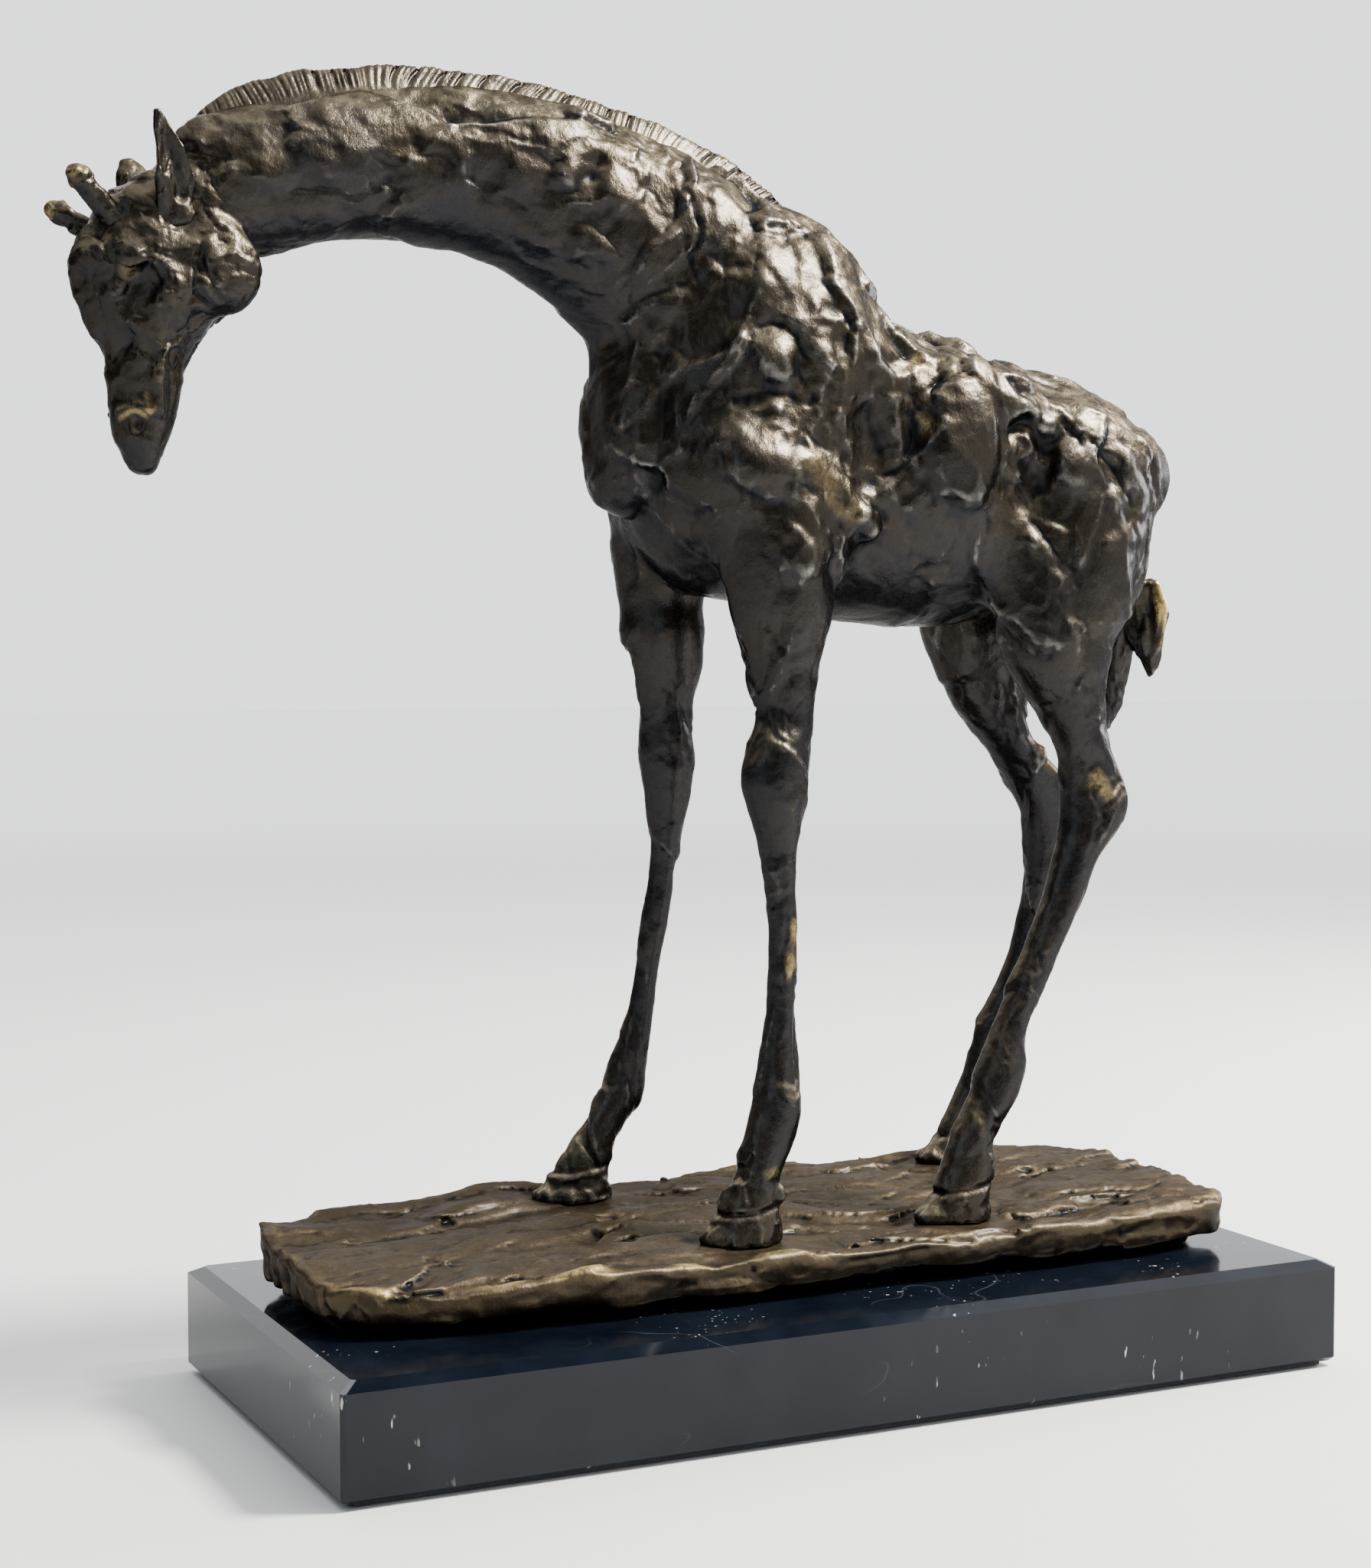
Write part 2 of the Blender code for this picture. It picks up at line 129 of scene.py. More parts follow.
def slabs(points, size, seed, edge=0.16):
    """Clay smeared on in flat, tilted patches, from about -1 to 1. Between two neighbours there is a steep
    step, as wide as the given share of a patch."""
    scaled = points / size
    cell = np.floor(scaled).astype(np.int64)
    near_gap, next_gap = np.full((2, len(points)), 9.0)
    near_level, next_level = np.zeros((2, len(points)))
    for offset in itertools.product((-1, 0, 1), repeat=3):
        near = cell + np.array(offset)
        chance = drawn(near, seed)
        away = scaled - near - chance[:, :3]
        gap = (away**2).sum(1)
        level = 1.3 * (chance[:, 6] - 0.5) + 2.6 * (away * (chance[:, 3:6] - 0.5)).sum(1)
        nearest, runner_up = gap < near_gap, gap < next_gap
        next_level = np.where(nearest, near_level, np.where(runner_up, level, next_level))
        next_gap = np.where(nearest, near_gap, np.where(runner_up, gap, next_gap))
        near_level, near_gap = np.where(nearest, level, near_level), np.where(nearest, gap, near_gap)
    inner = 0.5 + 0.5 * step(0, edge, np.sqrt(next_gap) - np.sqrt(near_gap))
    return near_level * inner + next_level * (1 - inner)


def step(low, high, value):
    """0 below low and 1 above high, with a smooth rise between them."""
    part = np.clip((value - low) / (high - low), 0, 1)
    return part * part * (3 - 2 * part)


# ---- fields of signed distance -------------------------------------------------------------


def smooth_min(a, b, blend):
    """The smaller of two distances, with a fillet of that width where they are close."""
    near = np.maximum(blend - np.abs(a - b), 0) / blend
    return np.minimum(a, b) - near * near * blend / 4


def smooth_curve(knots, values, at):
    """A cubic through the knots, each with the slope of its neighbours."""
    slopes = np.gradient(values, knots)
    at = np.clip(at, knots[0], knots[-1])
    i = np.clip(np.searchsorted(knots, at) - 1, 0, len(knots) - 2)
    width = knots[i + 1] - knots[i]
    t = (at - knots[i]) / width
    rise = (1 + 2 * t) * (1 - t) ** 2 * values[i] + t * t * (3 - 2 * t) * values[i + 1]
    lean = t * (1 - t) ** 2 * slopes[i] - t * t * (1 - t) * slopes[i + 1]
    return rise + width * lean


def section(u, v, half_u, half_v, beyond, end):
    """Distance to an elliptical section; past the end of its axis the form closes with a rounded end."""
    reach = np.sqrt((u / half_u) ** 2 + (v / half_v) ** 2) + 1e-4
    slope = np.sqrt((u / half_u**2) ** 2 + (v / half_v**2) ** 2) + 1e-4 / np.maximum(half_u, half_v)
    distance = (reach - 1) * reach / slope
    closed = np.hypot(np.maximum(distance + end, 0), beyond) - end
    return np.where(beyond > 0, closed, distance)


def level_form(stations, end=2.0):
    """A form made of level ellipses, with stations z, x, y, half x, half y."""
    table = np.array(sorted(stations), float)

    def distance(x, y, z):
        at = z.ravel()
        cx, cy, half_x, half_y = (smooth_curve(table[:, 0], table[:, k], at) for k in range(1, 5))
        beyond = np.maximum(table[0, 0] - at, at - table[-1, 0]).clip(0)
        return section(x - cx, y - cy, half_x, half_y, beyond, end)

    return distance


def barrel_form(stations, centre_y, end=11.5):
    """A form that lies along X, with stations x, top, bottom, half width."""
    table = np.array(stations, float)

    def distance(x, y, z):
        at = x.ravel()
        top, bottom, half = (smooth_curve(table[:, 0], table[:, k], at)[:, None, None] for k in (1, 2, 3))
        beyond = np.maximum(table[0, 0] - at, at - table[-1, 0]).clip(0)[:, None, None]
        return section(y - centre_y, z - (top + bottom) / 2, half, (top - bottom) / 2, beyond, end)

    return distance


def spine_form(stations, end=4.0, samples=260):
    """A form round a spine that bends in the XZ plane: x, y, z, half depth, half width."""
    table = np.array(stations, float)
    run = np.concatenate([[0], np.cumsum(np.hypot(np.diff(table[:, 0]), np.diff(table[:, 2])))])
    at = np.linspace(0, run[-1], samples)
    px, py, pz, depth, width = (smooth_curve(run, table[:, k], at) for k in range(5))
    ahead = np.stack([np.gradient(px, at), np.gradient(pz, at)])
    ahead /= np.hypot(*ahead)

    def distance(x, y, z):
        gx, gz = x.ravel()[:, None], z.ravel()[None, :]
        gap = (gx[..., None] - px) ** 2 + (gz[..., None] - pz) ** 2
        i = gap.argmin(2)
        off_x, off_z = gx - px[i], gz - pz[i]
        forward = off_x * ahead[0][i] + off_z * ahead[1][i]
        up = off_z * ahead[0][i] - off_x * ahead[1][i]
        beyond = np.where(i == 0, -forward, np.where(i == samples - 1, forward, 0)).clip(0)
        up, beyond, cy = up[:, None, :], beyond[:, None, :], py[i][:, None, :]
        return section(y - cy, up, width[i][:, None, :], depth[i][:, None, :], beyond, end)

    return distance


def rod_form(*knots):
    """Round-ended rods through knots of x, y, z, radius."""

    def distance(x, y, z):
        best = None
        for (*start, r0), (*stop, r1) in zip(knots, knots[1:]):
            a, d = np.array(start, float), np.array(stop, float) - start
            t = ((x - a[0]) * d[0] + (y - a[1]) * d[1] + (z - a[2]) * d[2]) / (d @ d)
            t = np.clip(t, 0, 1)
            away = np.sqrt((x - a[0] - t * d[0]) ** 2 + (y - a[1] - t * d[1]) ** 2
                           + (z - a[2] - t * d[2]) ** 2) - (r0 + t * (r1 - r0))
            best = away if best is None else np.minimum(best, away)
        return best

    return distance


def ball_form(centre, radii, tilt=0.0):
    """An ellipsoid, tilted by some degrees round the Y axis."""
    c, s = math.cos(math.radians(tilt)), math.sin(math.radians(tilt))

    def distance(x, y, z):
        dx, dy, dz = x - centre[0], (y - centre[1]) / radii[1], z - centre[2]
        u, w = (dx * c + dz * s) / radii[0], (dz * c - dx * s) / radii[2]
        reach = np.sqrt(u * u + dy * dy + w * w) + 1e-4
        slope = np.sqrt((u / radii[0]) ** 2 + (dy / radii[1]) ** 2 + (w / radii[2]) ** 2) + 1e-4
        return (reach - 1) * reach / slope

    return distance


class Field:
    """A block of space, sampled on a grid, that holds the signed distance to a surface."""

    def __init__(self, low, high, pitch):
        self.low, self.pitch = np.array(low, float), pitch
        self.count = np.ceil((np.array(high) - self.low) / pitch).astype(int) + 1
        self.value = np.full(self.count, 40.0, np.float32)

    def part(self, box):
        """The slices and the coordinates of a box (low, high) within the block."""
        first = np.zeros(3, int)
        last = self.count
        if box is not None:
            first = np.clip(((np.array(box[0]) - self.low) / self.pitch).astype(int), 0, self.count)
            last = np.clip(((np.array(box[1]) - self.low) / self.pitch).astype(int) + 2, 0, self.count)
        axes = [self.low[k] + self.pitch * np.arange(first[k], last[k]) for k in range(3)]
        return tuple(map(slice, first, last)), np.meshgrid(*axes, indexing="ij", sparse=True)

    def add(self, form, blend=3.0, box=None):
        """Join a form on. blend is the width of the fillet, or a function of z that gives it."""
        where, at = self.part(box)
        if self.value[where].size:
            width = blend(at[2]) if callable(blend) else blend
            self.value[where] = smooth_min(self.value[where], form(*at), width)

    def carve(self, form, blend=1.5, box=None):
        where, at = self.part(box)
        if self.value[where].size:
            self.value[where] = -smooth_min(-self.value[where], form(*at), blend)

    def surface(self):
        """Points and quads of the surface: one point in each cell that the surface crosses."""
        inside = self.value < 0
        corners = sum(inside[i:self.count[0] - 1 + i, j:self.count[1] - 1 + j, k:self.count[2] - 1 + k]
                      .astype(np.uint8) for i, j, k in itertools.product((0, 1), repeat=3))
        active = (corners > 0) & (corners < 8)
        cells = np.argwhere(active)
        number = np.full(active.shape, -1, np.int64)
        number[active] = np.arange(len(cells))
        total, hits = np.zeros((len(cells), 3)), np.zeros(len(cells))
        unit = np.eye(3, dtype=int)
        for axis in range(3):
            u, v = unit[(axis + 1) % 3], unit[(axis + 2) % 3]
            for i, j in itertools.product((0, 1), repeat=2):
                start = cells + i * u + j * v
                a = self.value[tuple(start.T)]
                b = self.value[tuple((start + unit[axis]).T)]
                crossed = (a < 0) != (b < 0)
                part = a[crossed] / (a[crossed] - b[crossed])
                total[crossed] += start[crossed] + part[:, None] * unit[axis]
                hits[crossed] += 1
        points = self.low + self.pitch * total / hits[:, None]
        quads = [self.quads_across(inside, number, axis, unit) for axis in range(3)]
        return points, np.concatenate(quads)

    def quads_across(self, inside, number, axis, unit):
        """A quad round each grid edge along an axis that the surface crosses."""
        u, v = unit[(axis + 1) % 3], unit[(axis + 2) % 3]
        low = inside[tuple(slice(0, -1) if k == axis else slice(None) for k in range(3))]
        high = inside[tuple(slice(1, None) if k == axis else slice(None) for k in range(3))]
        edges = np.argwhere(low != high)
        others = [(axis + 1) % 3, (axis + 2) % 3]
        kept = (edges[:, others] > 0).all(1) & (edges[:, others] < self.count[others] - 1).all(1)
        edges = edges[kept]
        ring = [number[tuple((edges - o).T)] for o in (u + v, v, 0 * u, u)]
        quads = np.stack(ring, 1)
        outward = inside[tuple(edges.T)]
        quads[~outward] = quads[~outward][:, ::-1]
        return quads


# ---- mesh work -----------------------------------------------------------------------------


def normals_of(points, quads):
    across = np.cross(points[quads[:, 2]] - points[quads[:, 0]], points[quads[:, 3]] - points[quads[:, 1]])
    total = np.zeros_like(points)
    for k in range(3):
        total[:, k] = np.bincount(quads.ravel(), np.repeat(across[:, k], 4), len(points))
    return total / (np.linalg.norm(total, axis=1, keepdims=True) + 1e-12)


def relaxed(values, quads, rounds):
    """Values averaged with those of their neighbours, some rounds over."""
    start, stop = quads.ravel(), np.roll(quads, -1, axis=1).ravel()
    start, stop = np.concatenate([start, stop]), np.concatenate([stop, start])
    share = np.bincount(start, minlength=len(values)).astype(float)[:, None]
    for _ in range(rounds):
        sums = [np.bincount(start, column, len(values)) for column in values[stop].T]
        values = (values + np.stack(sums, 1) / share) / 2
    return values


def seen_from_front(points):
    """Where each point appears on the plane y = 0 to an eye at the camera: x and z there."""
    part = SIGHT[1] / (SIGHT[1] - points[:, 1])
    return SIGHT[[0, 2]] + part[:, None] * (points[:, [0, 2]] - SIGHT[[0, 2]])


def facing(points, normals):
    """How squarely the surface faces the camera: 0 at its outline and 1 well within."""
    to_eye = SIGHT - points
    to_eye /= np.linalg.norm(to_eye, axis=1, keepdims=True)
    return step(0.02, 0.35, (normals * to_eye).sum(1))


def line_profile(at, line, radius):
    """1 on a drawn line, falling to 0 at the radius and towards the line's two ends."""
    line = np.array(line, float)
    low, high = line.min(0) - radius, line.max(0) + radius
    near = np.flatnonzero(((at > low) & (at < high)).all(1))
    profile = np.zeros(len(at))
    if not len(near):
        return profile
    spot = at[near]
    lengths = np.hypot(*np.diff(line, axis=0).T)
    run = np.concatenate([[0], np.cumsum(lengths)]) / lengths.sum()
    best, place = np.full(len(near), 1e9), np.zeros(len(near))
    for k, (start, stop) in enumerate(zip(line, line[1:])):
        d = stop - start
        t = np.clip((spot - start) @ d / (d @ d), 0, 1)
        away = np.hypot(*(spot - start - t[:, None] * d).T)
        closer = away < best
        best = np.where(closer, away, best)
        place = np.where(closer, run[k] + t * (run[k + 1] - run[k]), place)
    taper = 1 - np.abs(2 * place - 1) ** 5
    profile[near] = np.clip(1 - (best / radius) ** 2, 0, 1) ** 2 * taper
    return profile


def pad_profile(at, centre, radii, tilt):
    """1 in the middle of an oval, falling gently to 0 a little outside it."""
    c, s = math.cos(math.radians(tilt)), math.sin(math.radians(tilt))
    dx, dz = at[:, 0] - centre[0], at[:, 1] - centre[1]
    reach = np.hypot((dx * c + dz * s) / radii[0], (dz * c - dx * s) / radii[1])
    return step(1.35, 0.3, reach)


def mesh_piece(name, points, quads, values):
    """A smooth-shaded object in metres, with a number per point for each named value."""
    mesh = bpy.data.meshes.new(name)
    mesh.from_pydata(points * MM, [], quads)
    mesh.shade_smooth()
    for key, numbers in values.items():
        mesh.attributes.new(key, "FLOAT", "POINT").data.foreach_set("value", numbers.astype(np.float32))
    obj = bpy.data.objects.new(name, mesh)
    bpy.context.collection.objects.link(obj)
    return obj


def trim(obj, point, normal, keep_inside=None):
    """Cut off what lies on the normal's side of a plane, and close the cut with a flat, sharp-edged face.
    keep_inside limits the cut to the points for which it is true."""
    bm = bmesh.new()
    bm.from_mesh(obj.data)
    verts = [v for v in bm.verts if keep_inside is None or keep_inside(v.co / MM)]
    chosen = set(verts)
    faces = [f for f in bm.faces if all(v in chosen for v in f.verts)]
    edges = {e for f in faces for e in f.edges}
    cut = bmesh.ops.bisect_plane(
        bm, geom=[*verts, *edges, *faces], dist=1e-8, plane_co=Vector(point) * MM,
        plane_no=Vector(normal).normalized(), clear_outer=True,
    )
    rim = [g for g in cut["geom_cut"] if isinstance(g, bmesh.types.BMEdge)]
    for face in bmesh.ops.edgeloop_fill(bm, edges=rim)["faces"]:
        face.smooth = False
        for edge in face.edges:
            edge.smooth = False
    bm.to_mesh(obj.data)
    bm.free()


def curvature(points, normals, quads, rounds, scale):
    """How far each point stands out from its surroundings: above 0 on ridges, below 0 in creases."""
    return np.clip(((points - relaxed(points, quads, rounds)) * normals).sum(1) / scale, -1.5, 1.5)


def bronze_mesh(name, points, quads, gilt, fine=(5, 0.22), broad_rounds=40, bronze=None):
    """A bronze piece that carries the numbers its patina is made from. fine is how many rounds of averaging
    a ridge is compared with, and the height in mm at which it counts as 1."""
    normals = normals_of(points, quads)
    values = {
        "fine": curvature(points, normals, quads, *fine),
        "broad": curvature(points, normals, quads, broad_rounds, 1.1),
        "gilt": gilt,
    }
    obj = mesh_piece(name, points, quads, values)
    obj.data.materials.append(bronze or BRONZE)
    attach(obj, "root")
    return obj


def sculpt(name, field, relief, replaces, bronze=None):
    """Mesh a field, press the relief into its surface and make it a piece that stands for a CAD node."""
    points, quads = field.surface()
    normals = normals_of(points, quads)
    depth, gilt = relief(points, normals)
    points = points + normals * depth[:, None]
    obj = bronze_mesh(name, relaxed(points, quads, 1), quads, gilt, bronze=bronze)
    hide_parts(replaces)
    return obj


# ---- materials -----------------------------------------------------------------------------


class Shader:
    """A material, or the world, whose nodes are wired by short calls."""

    def __init__(self, material, surface="Principled BSDF"):
        material.use_nodes = True
        self.material = material
        self.tree = material.node_tree
        self.surface = self.tree.nodes[surface]
        self.coordinates = self.tree.nodes.new("ShaderNodeTexCoord").outputs
        self.place = self.coordinates["Object"]

    def node(self, kind, settings=None, **inputs):
        """A new node. Inputs go by name, or by number as _0, _1 and so on."""
        made = self.tree.nodes.new(kind)
        for key, value in (settings or {}).items():
            setattr(made, key, value)
        for key, value in inputs.items():
            self.set(made.inputs[int(key[1:]) if key[1:].isdigit() else key], value)
        return made

    def set(self, socket, value):
        if isinstance(value, bpy.types.NodeSocket):
            self.tree.links.new(value, socket)
        else:
            socket.default_value = value

    def noise(self, size_mm, detail=3.0, roughness=0.55, stretch=(1, 1, 1)):
        """Noise from 0 to 1 with lumps of that size."""
        at = self.node("ShaderNodeMapping", Vector=self.place, Scale=stretch).outputs[0]
        made = self.node("ShaderNodeTexNoise", Vector=at, Scale=1 / (size_mm * MM), Detail=detail,
                         Roughness=roughness)
        return made.outputs[0]

    def value(self, key):
        return self.node("ShaderNodeAttribute", {"attribute_name": key}).outputs["Fac"]

    def ramp(self, source, low, high, to_low=0.0, to_high=1.0, kind="LINEAR"):
        made = self.node("ShaderNodeMapRange", {"interpolation_type": kind}, Value=source)
        for key, number in (("From Min", low), ("From Max", high), ("To Min", to_low), ("To Max", to_high)):
            made.inputs[key].default_value = number
        return made.outputs[0]

    def math(self, operation, a, b=0.5, c=0.0):
        return self.node("ShaderNodeMath", {"operation": operation}, _0=a, _1=b, _2=c).outputs[0]

    def mix(self, factor, a, b):
        made = self.node("ShaderNodeMix", {"data_type": "RGBA"})
        for k, value in ((0, factor), (6, a), (7, b)):
            self.set(made.inputs[k], (*value, 1.0) if isinstance(value, tuple) else value)
        return made.outputs[2]

    def bump(self, height, distance_mm, strength=1.0, under=None):
        made = self.node("ShaderNodeBump", Height=height, Distance=distance_mm * MM, Strength=strength)
        if under is not None:
            self.set(made.inputs["Normal"], under)
        return made.outputs[0]


def bronze_material(name, brown_tones, dry_and_lit_tone, wear_and_highlight_tone, dullness=0.27):
    """Patina over bronze: brown, with blue-black painted shade underneath and down the legs, dark patina
    and painted shade in the creases, paler where it faces up from drier patina and painted light, rubbed to
    brass on the ridges, and silver there as wear and a painted highlight."""
    s = Shader(bpy.data.materials.new(name))
    fine, broad, gilt = s.value("fine"), s.value("broad"), s.value("gilt")
    upward = s.node("ShaderNodeSeparateXYZ", Vector=s.coordinates["Normal"]).outputs["Z"]
    clouds, grain, speckle = s.noise(34, 3), s.noise(1.3, 4, 0.7), s.noise(5.5, 4, 0.65)
    height = s.math("ADD", s.math("MULTIPLY", fine, 0.6), s.math("MULTIPLY", broad, 0.13))
    height = s.math("ADD", height, s.ramp(speckle, 0.3, 0.7, -0.06, 0.06))
    # Creases: dark patina, and painted shade, in blue-black
    hollow = s.ramp(height, -0.55, -0.04, 1.0, 0.0)
    ridge = s.ramp(height, 0.22, 0.85)
    brown = s.mix(s.ramp(clouds, 0.35, 0.65), *brown_tones)
    level = s.node("ShaderNodeSeparateXYZ", Vector=s.place).outputs["Z"]
    # Painted shade: blue-black where the surface faces down, and darker down the legs
    legs = s.math("MULTIPLY", s.ramp(level, 0.19, 0.25, 0.62, 0.0), s.ramp(level, 0.05, 0.08))
    shaded = s.math("MAXIMUM", s.ramp(upward, -0.75, 0.05, 0.9, 0.0), legs)
    below = s.mix(shaded, brown, (0.009, 0.0105, 0.014))
    # Paler where it faces up: drier patina, and painted light from above
    dry_and_lit_top = s.math("MULTIPLY", s.ramp(upward, 0.1, 0.8), s.ramp(speckle, 0.38, 0.62, 0.3, 1.0))
    above = s.mix(dry_and_lit_top, below, dry_and_lit_tone)
    # Dark patina and painted shade in the creases
    dark = s.mix(hollow, above, (0.005, 0.0055, 0.0065))
    # Silver on the ridges: wear, and a painted highlight
    ridge_wear_and_highlight = s.math("MULTIPLY", ridge, s.ramp(grain, 0.3, 0.7, 0.2, 0.65))
    worn_and_highlit = s.mix(ridge_wear_and_highlight, dark, wear_and_highlight_tone)
    rubbed = s.math("MULTIPLY", gilt, s.ramp(grain, 0.35, 0.65, 0.35, 1.0))
    s.set(s.surface.inputs["Base Color"], s.mix(rubbed, worn_and_highlit, (0.54, 0.40, 0.16)))
    s.surface.inputs["Metallic"].default_value = 0.92
    s.surface.inputs["Specular Tint"].default_value = (0.26, 0.25, 0.25, 1)  # dull at grazing angles
    rough = s.ramp(hollow, 0, 1, dullness, dullness + 0.28)
    rough = s.math("ADD", rough, s.ramp(grain, 0.3, 0.7, -0.06, 0.10))
    s.set(s.surface.inputs["Roughness"], s.math("ADD", rough, s.math("MULTIPLY", dry_and_lit_top, 0.14)))
    s.surface.inputs["Coat Weight"].default_value = 0.10
    s.surface.inputs["Coat Roughness"].default_value = 0.25
    pits = s.bump(s.noise(0.55, 3, 0.7), 0.08, 0.9)
    tooled = s.bump(s.noise(1.7, 3, 0.65, (1, 1, 0.6)), 0.24, 0.9, pits)
    s.set(s.surface.inputs["Normal"], s.bump(s.noise(4.6, 2, 0.6), 0.4, 0.7, tooled))
    return s.material


def marble_material():
    """Polished black marble with faint clouds, thin veins and a few white flecks."""
    s = Shader(bpy.data.materials.new("black_marble"))
    clouds = s.noise(30, 5, 0.6)
    base = s.mix(s.ramp(clouds, 0.35, 0.7), (0.0015, 0.0022, 0.004), (0.004, 0.006, 0.010))
    vein = s.math("ABSOLUTE", s.math("SUBTRACT", s.noise(90, 3, 0.5, (1, 1, 2)), 0.5))
    faint = s.math("MULTIPLY", s.ramp(vein, 0.0, 0.003, 0.25, 0.0), s.ramp(s.noise(40, 2), 0.5, 0.65))
    base = s.mix(faint, base, (0.10, 0.11, 0.12))
    streak = s.ramp(s.noise(3.0, 2, 0.5, (1.6, 1.6, 0.5)), 0.69, 0.75)
    patch = s.ramp(s.noise(34, 1, 0.4), 0.55, 0.63)
    base = s.mix(s.math("MULTIPLY", streak, patch), base, (0.42, 0.42, 0.40))
    s.set(s.surface.inputs["Base Color"], base)
    s.set(s.surface.inputs["Roughness"], s.ramp(s.noise(9, 4, 0.65), 0.3, 0.75, 0.06, 0.16))
    s.surface.inputs["Specular IOR Level"].default_value = 0.22
    s.set(s.surface.inputs["Normal"], s.bump(s.noise(12, 2, 0.5), 0.03, 0.4))
    return s.material


def felt_material():
    s = Shader(bpy.data.materials.new("felt"))
    fibre = s.noise(0.5, 4, 0.8)
    s.set(s.surface.inputs["Base Color"], s.mix(fibre, (0.008, 0.008, 0.010), (0.030, 0.030, 0.034)))
    s.surface.inputs["Roughness"].default_value = 0.95
    s.surface.inputs["Sheen Weight"].default_value = 0.3
    s.set(s.surface.inputs["Normal"], s.bump(fibre, 0.3, 0.8))
    return s.material


def zinc_material():
    s = Shader(bpy.data.materials.new("zinc_steel"))
    spangle = s.noise(1.5, 3, 0.6)
    s.set(s.surface.inputs["Base Color"], s.mix(spangle, (0.50, 0.51, 0.53), (0.66, 0.66, 0.65)))
    s.surface.inputs["Metallic"].default_value = 1.0
    s.set(s.surface.inputs["Roughness"], s.ramp(spangle, 0.2, 0.8, 0.28, 0.45))
    s.set(s.surface.inputs["Normal"], s.bump(s.noise(0.4, 2, 0.6, (1, 1, 6)), 0.03, 0.5))
    return s.material


# In both bronzes the tone for upward faces is drier patina with painted light, and the tone for ridges is
# wear with a painted highlight
BRONZE = bronze_material(
    "bronze_patina", brown_tones=((0.028, 0.022, 0.014), (0.020, 0.0175, 0.015)),
    dry_and_lit_tone=(0.135, 0.110, 0.074), wear_and_highlight_tone=(0.215, 0.205, 0.185),
)
GROUND_BRONZE = bronze_material(
    "ground_bronze", brown_tones=((0.050, 0.036, 0.020), (0.036, 0.028, 0.018)),
    dry_and_lit_tone=(0.050, 0.038, 0.024), wear_and_highlight_tone=(0.095, 0.076, 0.048), dullness=0.43,
)

# ---- the giraffe's forms, mm ---------------------------------------------------------------

# Torso: x, top, bottom, half width
TORSO = (
    (-40.5, 295, 246, 18), (-34, 304, 236, 25.5), (-24, 315, 227, 32),
    (-7, 329, 223, 34), (8, 332, 221, 35), (20, 321, 219, 35), (33, 310, 217.5, 35),
    (48, 302, 216, 35), (63, 298.5, 217, 34.5), (79, 295.5, 222, 34), (94, 293, 230, 34.5),
    (107, 288, 234, 33), (115, 282.5, 238, 27.5), (120, 277.5, 241.5, 22),
)
# Neck: x, y, z of the spine, half depth, half width
NECK = (
    (-171, 0, 321, 13, 10), (-161, 1, 327.5, 17, 13), (-143.5, 2, 334.5, 19.5, 14.5),
    (-122, 2, 339, 20.5, 15), (-99, 3, 340, 21.5, 16), (-78, 3, 337.5, 23.5, 17.5),
    (-53, 3, 329, 27.5, 20), (-31.5, 3, 318, 32, 23.5), (-12, 3, 301, 36, 28), (6, 3, 286, 36, 28),
)
# Legs: z, x, y, half length, half width, from the shoulder or hip down to the hoof
FORE_LEFT = (
    (268, -2, -16, 24, 16), (248, -4, -20, 22, 16), (230, -6.5, -22, 16.5, 13.5),
    (215, -6, -22, 14.5, 12), (200, -6.4, -23, 9.6, 8.6), (190, -6.2, -23.5, 8.2, 7.2),
    (182, -8.2, -24, 9.3, 8), (174, -9.5, -24, 10, 8.6), (166, -9.5, -24.5, 8.4, 7.6),
    (158, -9, -25, 6.2, 5.8), (146, -8.8, -25.5, 4.2, 4.2), (128, -8.3, -26, 4, 4),
    (108, -8.6, -27, 4.2, 4.1), (92, -9.8, -27.5, 5.8, 5.4), (80, -10.8, -28, 7, 6.4),
    (70, -14.1, -28, 7, 6), (62, -17.8, -28, 6.6, 6), (55, -19.4, -28, 8.4, 7.2),
    (45.2, -20.8, -28, 11, 8.4),
)
FORE_RIGHT = (
    (268, -10, 22, 23, 16), (248, -14, 25, 21, 15), (230, -21, 25, 13.5, 12),
    (215, -21.3, 24, 11.4, 10.5), (205, -20.2, 24, 10.4, 9), (193, -20.5, 24, 8.2, 7.4),
    (179, -19.2, 24.5, 9.2, 8), (168, -19, 25, 7.4, 6.8), (156, -19.5, 25.5, 4.9, 4.9),
    (140, -20.7, 26.5, 4.2, 4.2), (124, -23.4, 27.5, 4, 4), (103, -26.4, 29, 4.2, 4.1),
    (86, -30, 30.5, 6.3, 5.8), (77, -32, 31.5, 7.4, 6.4), (68, -38, 32.5, 7.4, 6),
    (60, -43, 33, 7.6, 6.4), (48.3, -45.5, 33, 10.6, 8.2),
)
HIND_LEFT = (
    (262, 97, -16, 24, 16), (245, 92, -20, 26, 15), (225, 88, -22, 24, 13.5),
    (205, 85, -23, 17, 11.5), (192, 89, -23.5, 12, 9.2), (180, 93.3, -24, 9.2, 7.8),
    (168, 97, -24, 11, 7.6), (158, 96, -24.5, 9.6, 7.2), (148, 90.4, -25, 6.8, 6),
    (135, 85.3, -25.5, 6, 5.2), (115, 75, -26, 5.2, 4.8), (97, 66.5, -26.5, 5.9, 5.4),
    (86, 63.3, -27, 8, 6.6), (78, 59.7, -27, 7.8, 6.4), (70, 54.5, -27, 7, 6),
    (60, 52.2, -27, 8, 6.6), (53, 50.5, -27, 9.2, 7.6), (45.2, 48.5, -27, 11, 8.2),
)
